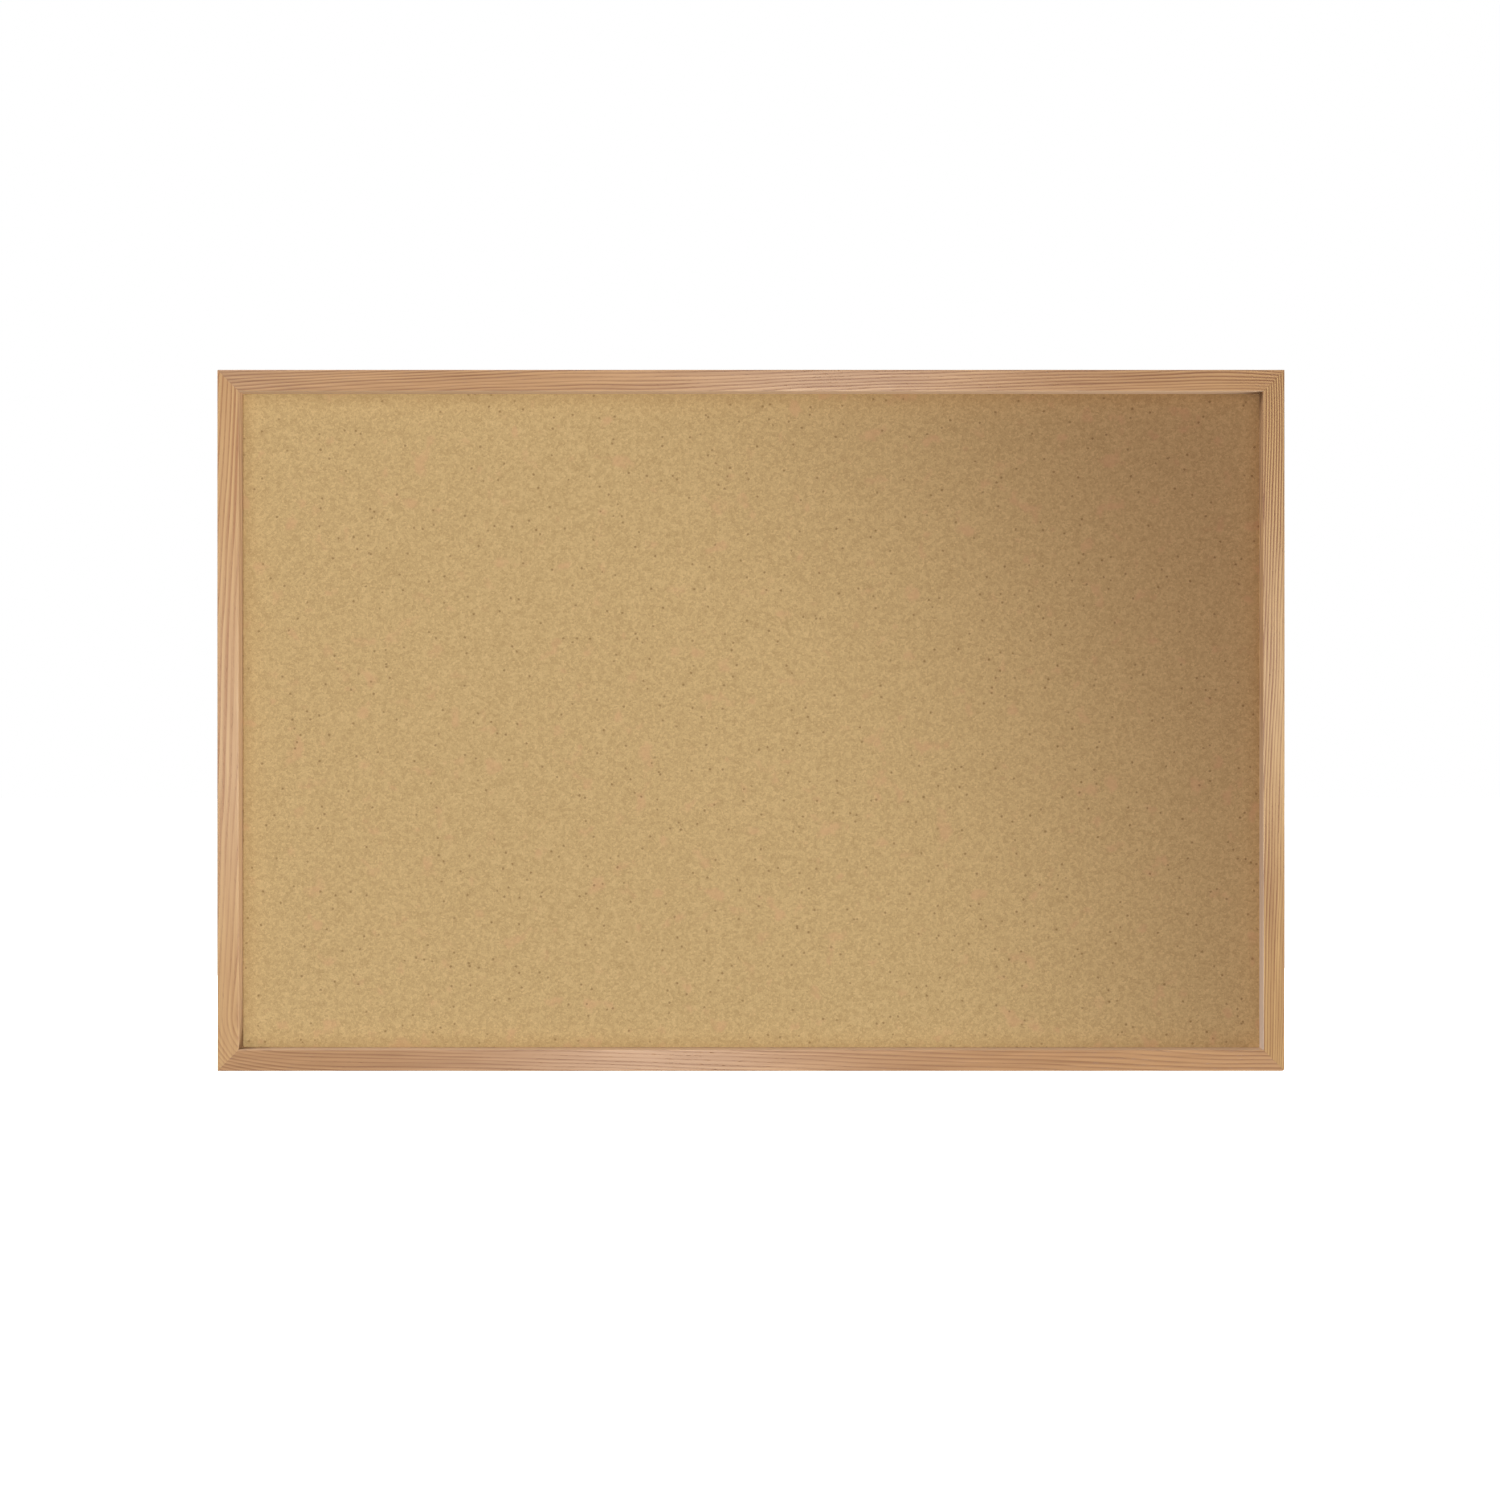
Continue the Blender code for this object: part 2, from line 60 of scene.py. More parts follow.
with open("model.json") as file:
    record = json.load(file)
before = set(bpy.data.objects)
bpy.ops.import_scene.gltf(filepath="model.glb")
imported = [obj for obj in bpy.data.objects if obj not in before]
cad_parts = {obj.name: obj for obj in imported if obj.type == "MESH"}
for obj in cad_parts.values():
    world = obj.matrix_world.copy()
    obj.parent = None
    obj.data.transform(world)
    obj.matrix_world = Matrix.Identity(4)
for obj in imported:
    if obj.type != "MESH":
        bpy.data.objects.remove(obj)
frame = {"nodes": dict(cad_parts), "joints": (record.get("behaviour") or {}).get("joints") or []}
cad_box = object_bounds()

# Moulding section, as the CAD has it
FRAME_FACE = 18.0 * MM
LIP_DEPTH = 9.5 * MM
LIP_WIDTH = 6.0 * MM
BACK_WOOD = FRAME_FACE - LIP_WIDTH
FRONT_OUTER_ROUND = 1.2 * MM
FRONT_INNER_ROUND = 0.8 * MM
BACK_OUTER_ROUND = 0.8 * MM
BACK_INNER_ROUND = 0.4 * MM

# Places read from the CAD
LEFT_LOW, LEFT_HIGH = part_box("frame_stile_left")
BOARD_WIDTH = cad_box[1].x - cad_box[0].x
BOARD_HEIGHT = cad_box[1].z - cad_box[0].z
FRONT_Y = LEFT_LOW.y
BACK_Y = LEFT_HIGH.y
LIP_Y = FRONT_Y + LIP_DEPTH
PAST = 1.0 * MM  # how far a cutter runs past what it cuts

# Moulding surface: corners, grid steps, and the size and relief of fibres and of sanding waves
CORNER_ROUNDS = {"sharp": 0.9 * MM, "worn": 3.0 * MM}
CORNER_STEP = 0.3 * MM
MITRE_GAP = 0.03 * MM
RAIL_STEP = 3.0 * MM
SECTION_STEP = 1.0 * MM
FIBRE_LENGTH = 16.0 * MM
FIBRE_WIDTH = 1.1 * MM
FIBRE_RELIEF = 0.035 * MM
SANDING_LENGTH = 55.0 * MM
SANDING_RELIEF = 0.05 * MM
RELIEF_SEED = 7.3  # how far apart the rails lie in the noise

# Oak: its satin sheen across the fibres, its mean tone from pale to dark, its pores' colour and the share
# of it, where a pore's edge fades in shares of a cell, how dark the wood round a pore is, and the depth of
# pores and fibres
OAK_SHEEN = {"Specular IOR Level": 0.66, "Anisotropic": 0.8}
OAK_MEAN = 0.42
OAK_PORE = (118, 80, 54)
OAK_PORE_SHARE = 0.55
OAK_PORE_EDGE = (0.16, 0.30)
OAK_PORE_WOOD = (0.25, 0.8)
OAK_PORE_DEPTH = 0.10 * MM
OAK_FIBRE_DEPTH = 0.05 * MM

# Growth rings: how far they wander, the widths of the dark early wood and the start of the late wood in
# shares of a ring, the mean share of dark wood, the range of contrast, the way over which a bolder grain
# sets in, and how much painted shade darkens the wood with it
RING_WANDER = 11.0 * MM
EARLY_WOOD = (0.35, 0.85)
LATE_WOOD = 0.86
RING_MEAN = 0.45
RING_CONTRAST = (0.3, 0.8)
BOLD_REACH = 0.17
BOLD_SHADE = 0.2

# The walls round the cork are painted paler, a painted sheen, with a painted greyish highlight low on the
# right stile's wall: how deep under a wall the tone starts and the depth over which it sets in, the place
# along a rail from which its share stays the same, and its two tones
WALL_EDGE = 0.6 * MM
WALL_BLEND = 0.4 * MM
WALL_CHANGE = 30.0 * MM
WALL_SHEEN = (192, 163, 133)
WALL_HIGHLIGHT = (201, 182, 167)

# Each rail has its two tones as 0 to 255 display values, its ring width, its patterns' shift, its pith in
# (y, z) and the pith's drift along it, a swirl (end, start, rate), a bolder grain with painted shade at one
# end (end, start, amount), the slope of its fibres, which moves the sheen along it, and its wall's painted
# sheen tone with the share of that tone at the rail's -X end and from WALL_CHANGE on.
OAK_SIDES = {
    "rail_bottom": {
        "pale": (181, 140, 98), "dark": (138, 97, 63), "ring": 2.4 * MM, "shift": (0.0, 0.0, 0.0),
        "pith": (-0.240, -0.020), "drift": (0.010, 0.038), "swirl": (-1, 0.36, 1.1),
        "bold_and_shade": (1, 0.27, 0.2), "slope": -0.051, "wall": (WALL_SHEEN, 0.7, 0.7),
    },
    "stile_left": {
        "pale": (194, 157, 110), "dark": (164, 119, 79), "ring": 3.4 * MM, "shift": (1.7, 0.3, 0.9),
        "pith": (-0.360, -0.030), "drift": (0.004, 0.050), "swirl": (1, 0.243, 9.5),
        "bold_and_shade": (-1, 0.10, 1.3), "slope": 0.0, "wall": (WALL_SHEEN, 0.4, 0.4),
    },
    "rail_top": {
        "pale": (183, 143, 100), "dark": (129, 86, 53), "ring": 2.1 * MM, "shift": (3.1, 0.8, 0.2),
        "pith": (-0.240, -0.012), "drift": (0.008, -0.034), "swirl": (-1, 0.36, 0.6),
        "bold_and_shade": (-1, 0.27, 0.6), "slope": -0.048, "wall": (WALL_SHEEN, 0.85, 0.85),
    },
    "stile_right": {
        "pale": (191, 154, 103), "dark": (130, 86, 50), "ring": 1.8 * MM, "shift": (5.3, 0.5, 1.4),
        "pith": (-0.340, 0.024), "drift": (0.006, 0.042), "swirl": (1, 0.20, 0.4),
        "bold_and_shade": (1, 0.10, 1.5), "slope": 0.032, "wall": (WALL_HIGHLIGHT, 1.0, 0.1),
    },
}

# Cork tones, then the bark specks: cells per metre, share of cells that hold one, reach in cells, and
# strength, with the raggedness of their edges. Painted shade along the frame, standing in for the lip's
# shadow on the cork, has its tone, a share at the left and right edges and a reach in from the frame.
CORK_TONES = {"pale": (222, 188, 138), "deep": (168, 136, 92), "pink": (208, 162, 122)}
CORK_BARK = (120, 88, 54)
CORK_SHADE_TONE = (148, 118, 80)
CORK_SPECKS = [(150.0, 0.09, 0.20, 0.6), (320.0, 0.06, 0.26, 0.5)]
CORK_RAGGED = 9
CORK_SHADE_SHARE = (0.28, 0.12)
CORK_SHADE_REACH = 14.0 * MM

# The other materials' tones as 0 to 255 display values, and ranges of roughness
SOFTBOARD_TONES = ((128, 98, 70), (176, 142, 106))
KRAFT_TONES = ((201, 168, 128), (166, 131, 92))
KRAFT_FLECK = (128, 96, 64)
RUBBER_TONES = ((34, 34, 35), (74, 72, 69))
FLOOR_TONES = ((250, 250, 250), (255, 255, 255))
OAK_ROUGH = (0.42, 0.52)
CORK_ROUGH = (0.82, 0.95)
SOFTBOARD_ROUGH = (0.85, 0.97)
KRAFT_ROUGH = (0.70, 0.85)
RUBBER_ROUGH = (0.55, 0.8)

# Steels: clean and tarnished tones, clouds of tarnish per metre, and roughness from clean to tarnished
STEELS = {
    "dull_nail_steel": ((150, 152, 156), (96, 92, 88), 240.0, (0.35, 0.6)),
    "zinc_plate": ((205, 206, 204), (160, 160, 158), 180.0, (0.36, 0.56)),
}

# Patterns, in features per metre: one number for all three axes, or one for each
OAK_WANDER = (3.5, 26.0, 26.0)
OAK_FIBRE = (22.0, 900.0, 900.0)
OAK_STREAK = (7.0, 330.0, 330.0)
OAK_BLOTCH = (9.0, 60.0, 60.0)
OAK_PORES = (130.0, 2600.0, 2600.0)
CORK_SWIRL = 260.0
CORK_GRANULES = 560.0
CORK_GRAIN = 900.0
CORK_MOTTLE = 190.0
CORK_PATCHES = 55.0
SOFTBOARD_FIBRE = 700.0
SOFTBOARD_CLUMPS = 90.0
KRAFT_LINES = (14.0, 14.0, 420.0)
KRAFT_FIBRE = (420.0, 1100.0, 1100.0)
KRAFT_CLOUDS = 28.0
KRAFT_FLECKS = (160.0, 700.0, 700.0)
STEEL_ROLLING = (300.0, 4000.0, 300.0)
STEEL_PITS = 900.0
RUBBER_SKIN = 1800.0
RUBBER_DUST = 260.0
FLOOR_CLOUDS = 1.5

# Sheets: grid step, size of the lumps or puckers, how much finer the cork's small lumps are, and relief
CORK_STEP = 2.3 * MM
CORK_LUMP = 6.0 * MM
CORK_FINER = 2.3
CORK_RELIEF = 0.06 * MM
KRAFT_STEP = 5.0 * MM
KRAFT_PUCKER = 70.0 * MM
KRAFT_RELIEF = 0.07 * MM

# Hardware
NAIL_PROUD = 0.04 * MM
NAIL_DEPTH = 8.0 * MM
NAIL_THICKNESS = 0.45 * MM
NAIL_LEG = 5.0 * MM
NAIL_CURL = 0.6 * MM
NAIL_VERTEX = {"outer": 3.2 * MM, "inner": 7.2 * MM}
NAIL_EDGE = 0.08 * MM
STRAP_THICKNESS = 0.6 * MM
STRAP_LAYER_GAP = 0.1 * MM
STRAP_END_ROUND = 2.5 * MM
STRAP_EDGE = 0.12 * MM
STRAP_EDGE_ANGLE = 0.9  # radians from which an edge is rounded
LOOP_RADIUS = 1.45 * MM
LOOP_WRAP = math.radians(230)
SCREW_SEED = 4
SCREW_HEAD_RADIUS = 2.6 * MM
SCREW_HEAD_HEIGHT = 1.6 * MM
SCREW_RIM = 0.15 * MM
SCREW_UNDERSIDE = -0.05 * MM
SCREW_HOLE = 1.6 * MM
SHANK_RADIUS = SCREW_HOLE - 0.15 * MM
SHANK_END = -9.0 * MM
SCREW_TIP = -11.0 * MM
RECESS_RADII = (0.5 * MM, 2.1 * MM)
RECESS_DEPTH = 1.7 * MM
RECESS_SLIMNESS = 0.22
RECESS_SINK = 0.2 * MM
RING_WIRE = 0.9 * MM
RING_SPAN = 12.2 * MM
RING_REACH = 10.5 * MM
RING_CORNER = 1.6 * MM
RING_REST_GAP = 0.2 * MM
WIRE_RESOLUTION = 8
GLUE = 0.1 * MM
FOOT_SHOULDER = 0.9 * MM
FOOT_SHOULDER_TURN = -1.25  # radians
FOOT_TAPER = 0.8 * MM
FOOT_DISH = 0.15 * MM
FOOT_DISH_RISE = 0.03 * MM
FOOT_DISH_SHARE = 0.7
FOOT_FLASH = 0.15 * MM
FOOT_FLASH_HEIGHTS = (0.35 * MM, 0.2 * MM)

# Stage
FLOOR_SIZE = 40.0
FLOOR_DROP = 0.45
AMBIENT = 0.1
REFLECTED = 0.5
CAMERA_DISTANCE = 1.2
CAMERA_LENS = 34.6
CAMERA_PLACE = (-0.8 * MM, -24.6 * MM)  # across and up

# Lights: kind, place, aim, watts, what they light, and the light's own settings. The frame casts no shadow
# from the lights in UNSHADED.
CENTRE = (0.0, 0.0, 0.0)
FRONT_PLACE = (0.0, -2.2, 0.0)
KEY_PLACE = (-3.4, -4.0, 4.0)
CORK_FRONT_PLACE = (-0.834, -5.0, -0.47)
CORK_FRONT_AIM = (-0.834, 0.0, -0.47)
WARM = (1.0, 0.94, 0.91)
FRONT_CONE = {"spot_size": math.radians(70), "spot_blend": 1.0, "shadow_soft_size": 0.2}
CORK_CONE = {"spot_size": math.radians(31.8), "spot_blend": 0.54, "shadow_soft_size": 0.05}
LIGHTS = {
    "front": ("SPOT", FRONT_PLACE, CENTRE, 64.0, "rest", {**FRONT_CONE, "color": WARM}),
    "cork_fill": ("AREA", FRONT_PLACE, CENTRE, 52.0, "cork", {"size": 6.0, "color": (1.0, 0.828, 0.775)}),
    "key": ("AREA", KEY_PLACE, CENTRE, 90.0, "rest", {"size": 2.8, "color": WARM}),
    "cork_key": ("AREA", KEY_PLACE, CENTRE, 92.7, "cork", {"size": 2.8, "color": (1.0, 0.88, 0.82)}),
    "cork_front": (
        "SPOT", CORK_FRONT_PLACE, CORK_FRONT_AIM, 530.0, "cork", {**CORK_CONE, "color": (0.825, 1.0, 0.943)},
    ),
    "frame_front": ("SPOT", FRONT_PLACE, CENTRE, 60.0, "rest", FRONT_CONE),
    "frame_low": ("AREA", (2.7, -0.8, -2.4), CENTRE, 140.0, "rest", {"size": 1.5}),
    "frame_high": ("AREA", (-2.6, -0.8, 2.7), CENTRE, 120.0, "rest", {"size": 1.5}),
    "back_right": ("AREA", (-1.6, 2.8, 1.0), CENTRE, 85.0, "all", {"size": 4.0}),
    "back_left": ("AREA", (1.6, 2.8, 1.2), CENTRE, 100.0, "all", {"size": 4.0}),
}
UNSHADED = {"cork_key"}

SIDES = {"left": -1, "right": 1}
ENDS = {"bottom": -1, "top": 1}

# What is drawn in XY, laid into the YZ plane or the XZ plane
IN_YZ = Matrix(((0, 0, 1), (1, 0, 0), (0, 1, 0))).to_4x4()
IN_XZ = Matrix(((1, 0, 0), (0, 0, -1), (0, 1, 0))).to_4x4()


# ---------------------------------------------------------------- materials


def srgb(red, green, blue):
    """A linear colour from its 0 to 255 display values."""
    channels = []
    for value in (red, green, blue):
        share = value / 255
        channels.append(share / 12.92 if share <= 0.04045 else ((share + 0.055) / 1.055) ** 2.4)
    return (*channels, 1.0)


class Shader:
    """A new material's node tree, with one short call for each kind of node used here."""

    MIX_COLOURS = (6, 7)  # a Mix node's inputs for colours, and its output
    MIX_RESULT = 2

    def __init__(self, name, values):
        self.material = bpy.data.materials.new(name)
        self.material.use_nodes = True
        self.tree = self.material.node_tree
        self.surface = self.tree.nodes["Principled BSDF"]
        for label, value in values.items():
            self.surface.inputs[label].default_value = value
        self.object_space = self.node("TexCoord").outputs["Object"]

    def node(self, kind, inputs=None, **settings):
        made = self.tree.nodes.new("ShaderNode" + kind)
        for label, value in settings.items():
            setattr(made, label, value)
        for key, value in (inputs or {}).items():
            self.feed(made.inputs[key], value)
        return made

    def feed(self, socket, value):
        if isinstance(value, bpy.types.NodeSocket):
            self.tree.links.new(value, socket)
        else:
            socket.default_value = value

    def colour(self, value):
        self.feed(self.surface.inputs["Base Color"], value)

    def roughness(self, value):
        self.feed(self.surface.inputs["Roughness"], value)

    def axes(self):
        """The object-space X, Y and Z of each point."""
        return self.node("SeparateXYZ", {0: self.object_space}).outputs

    def stretched(self, scale, shift=(0, 0, 0)):
        """Object space, moved by shift and then scaled, in features per metre for all axes or for each."""
        scale = scale if isinstance(scale, tuple) else (scale,) * 3
        moved = self.node("VectorMath", {0: self.object_space, 1: shift}, operation="ADD")
        return self.node("VectorMath", {0: moved.outputs[0], 1: scale}, operation="MULTIPLY").outputs[0]

    def noise(self, vector, detail=2.0, roughness=0.5, distortion=0.0):
        inputs = {"Vector": vector, "Scale": 1.0, "Detail": detail, "Roughness": roughness}
        inputs["Distortion"] = distortion
        return self.node("TexNoise", inputs).outputs["Fac"]

    def cells(self, vector, feature="F1"):
        return self.node("TexVoronoi", {"Vector": vector, "Scale": 1.0}, feature=feature).outputs

    def channel(self, colour, index):
        """One channel of a colour, such as of the random colour that each cell has."""
        return self.node("SeparateColor", {0: colour}).outputs[index]

    def calc(self, operation, first, second=0.0, third=0.0, clamp=False):
        inputs = {0: first, 1: second, 2: third}
        return self.node("Math", inputs, operation=operation, use_clamp=clamp).outputs[0]

    def swayed(self, tone, layer, weight, clamp=False):
        """The tone, moved by a layer that varies about 0.5."""
        return self.calc("MULTIPLY_ADD", self.calc("SUBTRACT", layer, 0.5), weight, tone, clamp)

    def scaled(self, value, low, high, new_low=0.0, new_high=1.0, smooth=False):
        """The value moved from the range low to high to the new one, and held at its ends."""
        inputs = {"Value": value, "From Min": low, "From Max": high}
        inputs.update({"To Min": new_low, "To Max": new_high})
        kind = "SMOOTHSTEP" if smooth else "LINEAR"
        return self.node("MapRange", inputs, interpolation_type=kind).outputs[0]

    def mixed(self, factor, *colours):
        """The first colour where factor is 0, and the second where it is 1."""
        made = self.node("Mix", data_type="RGBA")
        self.feed(made.inputs["Factor"], factor)
        for index, colour in zip(self.MIX_COLOURS, colours):
            self.feed(made.inputs[index], colour)
        return made.outputs[self.MIX_RESULT]

    def bump(self, *layers):
        """Relief from (height, depth in metres) layers, each laid over the one before."""
        normal = None
        for height, depth in layers:
            made = self.node("Bump", {"Height": height, "Strength": 1.0, "Distance": depth})
            if normal:
                self.feed(made.inputs["Normal"], normal)
            normal = made.outputs["Normal"]
        self.feed(self.surface.inputs["Normal"], normal)


def oak_rings(shader, look):
    """The growth rings at each point: the share of dark wood, and the darkness against the mean tone."""
    wander = shader.noise(shader.stretched(OAK_WANDER, look["shift"]), detail=2.5)
    along, depth, across = shader.axes()
    off_depth = shader.calc("MULTIPLY_ADD", along, look["drift"][0], -look["pith"][0])
    off_across = shader.calc("MULTIPLY_ADD", along, look["drift"][1], -look["pith"][1])
    off_depth = shader.calc("ADD", off_depth, depth)
    off_across = shader.calc("ADD", off_across, across)
    squares = shader.calc("MULTIPLY", off_depth, off_depth)
    radius = shader.calc("SQRT", shader.calc("MULTIPLY_ADD", off_across, off_across, squares))
    radius = shader.calc("MULTIPLY_ADD", wander, RING_WANDER, radius)
    end, start, rate = look["swirl"]
    past = shader.calc("MAXIMUM", shader.calc("MULTIPLY_ADD", along, end, -start), 0.0)
    radius = shader.calc("MULTIPLY_ADD", shader.calc("MULTIPLY", past, past), rate, radius)

    ring = shader.calc("DIVIDE", radius, look["ring"])
    number = shader.calc("FLOOR", ring)
    phase = shader.calc("FRACT", ring)
    strength = shader.node("TexWhiteNoise", {"W": number}, noise_dimensions="1D").outputs["Value"]
    early_end = shader.scaled(strength, 0.0, 1.0, *EARLY_WOOD)
    early = shader.scaled(phase, 0.0, early_end, 1.0, 0.0, smooth=True)
    late = shader.scaled(phase, LATE_WOOD, 1.0, smooth=True)
    band = shader.calc("MAXIMUM", early, late)

    # A bolder grain at one end, with painted shade that darkens that end of the rail.
    end, start, amount = look["bold_and_shade"]
    bold_and_shade = shader.calc("MULTIPLY", along, end)
    bold_and_shade = shader.scaled(bold_and_shade, start, start + BOLD_REACH, 0.0, amount, smooth=True)
    contrast = shader.scaled(strength, 0.0, 1.0, *RING_CONTRAST)
    darkness = shader.calc("MULTIPLY", shader.calc("SUBTRACT", band, RING_MEAN), contrast)
    darkness = shader.calc("MULTIPLY_ADD", darkness, bold_and_shade, darkness)
    return band, shader.calc("MULTIPLY_ADD", bold_and_shade, BOLD_SHADE, darkness)


def oak_material(name, length, inner):
    """Rift-sawn red oak with its grain along X. The tree's pith lies off the rail at a slant and drifts
    along it, which draws the growth rings out into long arches on each face. The wall round the cork, at
    z = inner, is painted paler as a painted sheen."""
    look = OAK_SIDES[name]
    shift = look["shift"]
    shader = Shader("oak_" + name, OAK_SHEEN)
    band, tone = oak_rings(shader, look)
    fibre = shader.noise(shader.stretched(OAK_FIBRE, shift), detail=3.0, roughness=0.6)
    streak = shader.noise(shader.stretched(OAK_STREAK, shift), detail=3.0)
    blotch = shader.noise(shader.stretched(OAK_BLOTCH, shift), detail=2.0)
    pores = shader.cells(shader.stretched(OAK_PORES, shift))["Distance"]
    pore = shader.scaled(pores, *OAK_PORE_EDGE, 1.0, 0.0)
    pore = shader.calc("MULTIPLY", pore, shader.scaled(band, *OAK_PORE_WOOD))

    for layer, weight in ((streak, 0.9), (fibre, 0.75), (blotch, 0.7)):
        tone = shader.swayed(tone, layer, weight)
    tone = shader.calc("ADD", tone, OAK_MEAN, clamp=True)
    colour = shader.mixed(tone, srgb(*look["pale"]), srgb(*look["dark"]))
    colour = shader.mixed(shader.calc("MULTIPLY", pore, OAK_PORE_SHARE), colour, srgb(*OAK_PORE))

    # Painted sheen: the walls round the cork are mixed paler, with a painted greyish highlight low on the
    # right stile's wall.
    along, _, across = shader.axes()
    wall, low_share, high_share = look["wall"]
    share = shader.scaled(along, -length / 2, WALL_CHANGE, low_share, high_share)
    edge = inner - WALL_EDGE
    painted_wall_sheen = shader.scaled(across, edge, edge + WALL_BLEND, 0.0, share, smooth=True)
    shader.colour(shader.mixed(painted_wall_sheen, colour, srgb(*wall)))
    shader.roughness(shader.scaled(tone, 0.0, 1.0, *OAK_ROUGH))
    across_grain = shader.node("Tangent", direction_type="RADIAL", axis="X").outputs[0]
    shader.feed(shader.surface.inputs["Tangent"], across_grain)
    shader.bump((along, look["slope"]), (fibre, OAK_FIBRE_DEPTH), (pore, -OAK_PORE_DEPTH))
    return shader.material


def cork_material():
    """Fine pressed cork: small granules, sparse bark specks, faint pink patches and painted shade along the
    frame.
    """
    shader = Shader("fine_cork", {"Specular IOR Level": 0.25})
    swirl = shader.noise(shader.stretched(CORK_SWIRL), detail=2.0)
    bend = shader.node("CombineXYZ", {0: swirl, 2: swirl}).outputs[0]
    granules = shader.stretched(CORK_GRANULES)
    warped = shader.node("VectorMath", {0: granules, 1: bend}, operation="ADD").outputs[0]
    tint = shader.channel(shader.cells(warped)["Color"], 0)
    edge = shader.cells(warped, feature="DISTANCE_TO_EDGE")["Distance"]
    seam = shader.scaled(edge, 0.0, 0.12, 1.0, 0.0)
    fine = shader.noise(shader.stretched(CORK_GRAIN), detail=3.0, roughness=0.6)
    mottle = shader.noise(shader.stretched(CORK_MOTTLE), detail=2.0)

    tone = shader.swayed(0.5, tint, 0.34)
    tone = shader.swayed(tone, fine, 0.9)
    tone = shader.swayed(tone, mottle, 0.32)
    tone = shader.calc("MULTIPLY_ADD", seam, 0.10, tone, clamp=True)
    pale, deep, pink = (srgb(*values) for values in CORK_TONES.values())
    colour = shader.mixed(tone, pale, deep)

    patch = shader.noise(shader.stretched(CORK_PATCHES, (0.3, 0.1, 0.7)), detail=2.0)
    patch = shader.scaled(patch, 0.60, 0.74, 0.0, 0.55, smooth=True)
    colour = shader.mixed(patch, colour, pink)

    for frequency, chosen, reach, strength in CORK_SPECKS:
        ragged = shader.noise(shader.stretched(frequency * CORK_RAGGED), detail=1.0)
        speck = shader.cells(shader.stretched(frequency, (0.05, 0.0, 0.02)))
        picked = shader.calc("LESS_THAN", shader.channel(speck["Color"], 1), chosen)
        rough_reach = shader.calc("MULTIPLY_ADD", ragged, -reach, speck["Distance"])
        spot = shader.scaled(rough_reach, 0.0, reach * 0.5, strength, 0.0)
        colour = shader.mixed(shader.calc("MULTIPLY", spot, picked), colour, srgb(*CORK_BARK))

    # Painted shade: the cork is darkened near the lip, most at the left, where the frame's shadow falls.
    x, _, z = shader.axes()
    gap_x = shader.calc("SUBTRACT", BOARD_WIDTH / 2 - FRAME_FACE, shader.calc("ABSOLUTE", x))
    gap_z = shader.calc("SUBTRACT", BOARD_HEIGHT / 2 - FRAME_FACE, shader.calc("ABSOLUTE", z))
    gap = shader.calc("MINIMUM", gap_x, gap_z)
    frame_shade = shader.scaled(gap, 0.0, CORK_SHADE_REACH, 1.0, 0.0, smooth=True)
    shade_share = shader.scaled(x, -BOARD_WIDTH / 2, BOARD_WIDTH / 2, *CORK_SHADE_SHARE)
    shader.colour(shader.mixed(shader.calc("MULTIPLY", frame_shade, shade_share), colour, srgb(*CORK_SHADE_TONE)))
    shader.roughness(shader.scaled(tone, 0.0, 1.0, *CORK_ROUGH))
    shader.bump((edge, 0.12 * MM), (fine, 0.14 * MM))
    return shader.material


def fibreboard_material():
    """Brown softboard: matted wood fibres with no direction."""
    shader = Shader("brown_fibreboard", {"Specular IOR Level": 0.2})
    fibre = shader.noise(shader.stretched(SOFTBOARD_FIBRE), detail=4.0, roughness=0.7, distortion=1.5)
    clump = shader.noise(shader.stretched(SOFTBOARD_CLUMPS), detail=2.0)
    tone = shader.scaled(shader.swayed(fibre, clump, 0.8), 0.3, 0.7)
    shader.colour(shader.mixed(tone, *(srgb(*values) for values in SOFTBOARD_TONES)))
    shader.roughness(shader.scaled(fibre, 0.3, 0.7, *SOFTBOARD_ROUGH))
    shader.bump((fibre, 0.25 * MM))
    return shader.material


def kraft_material():
    """Brown kraft paper with its fibres and faint machine lines running across the board."""
    shader = Shader("brown_kraft", {"Specular IOR Level": 0.3})
    lines = shader.noise(shader.stretched(KRAFT_LINES), detail=2.0)
    fibre = shader.noise(shader.stretched(KRAFT_FIBRE), detail=3.0, distortion=0.8)
    cloud = shader.noise(shader.stretched(KRAFT_CLOUDS), detail=3.0)
    fleck = shader.cells(shader.stretched(KRAFT_FLECKS))
    spot = shader.calc("LESS_THAN", shader.channel(fleck["Color"], 0), 0.10)
    spot = shader.calc("MULTIPLY", spot, shader.scaled(fleck["Distance"], 0.10, 0.28, 0.5, 0.0))
    tone = shader.swayed(0.5, lines, 0.6)
    tone = shader.swayed(tone, fibre, 0.7)
    tone = shader.swayed(tone, cloud, 0.7, clamp=True)
    colour = shader.mixed(tone, *(srgb(*values) for values in KRAFT_TONES))
    shader.colour(shader.mixed(spot, colour, srgb(*KRAFT_FLECK)))
    shader.roughness(shader.scaled(tone, 0.0, 1.0, *KRAFT_ROUGH))
    shader.bump((fibre, 0.05 * MM), (cloud, 0.3 * MM))
    return shader.material


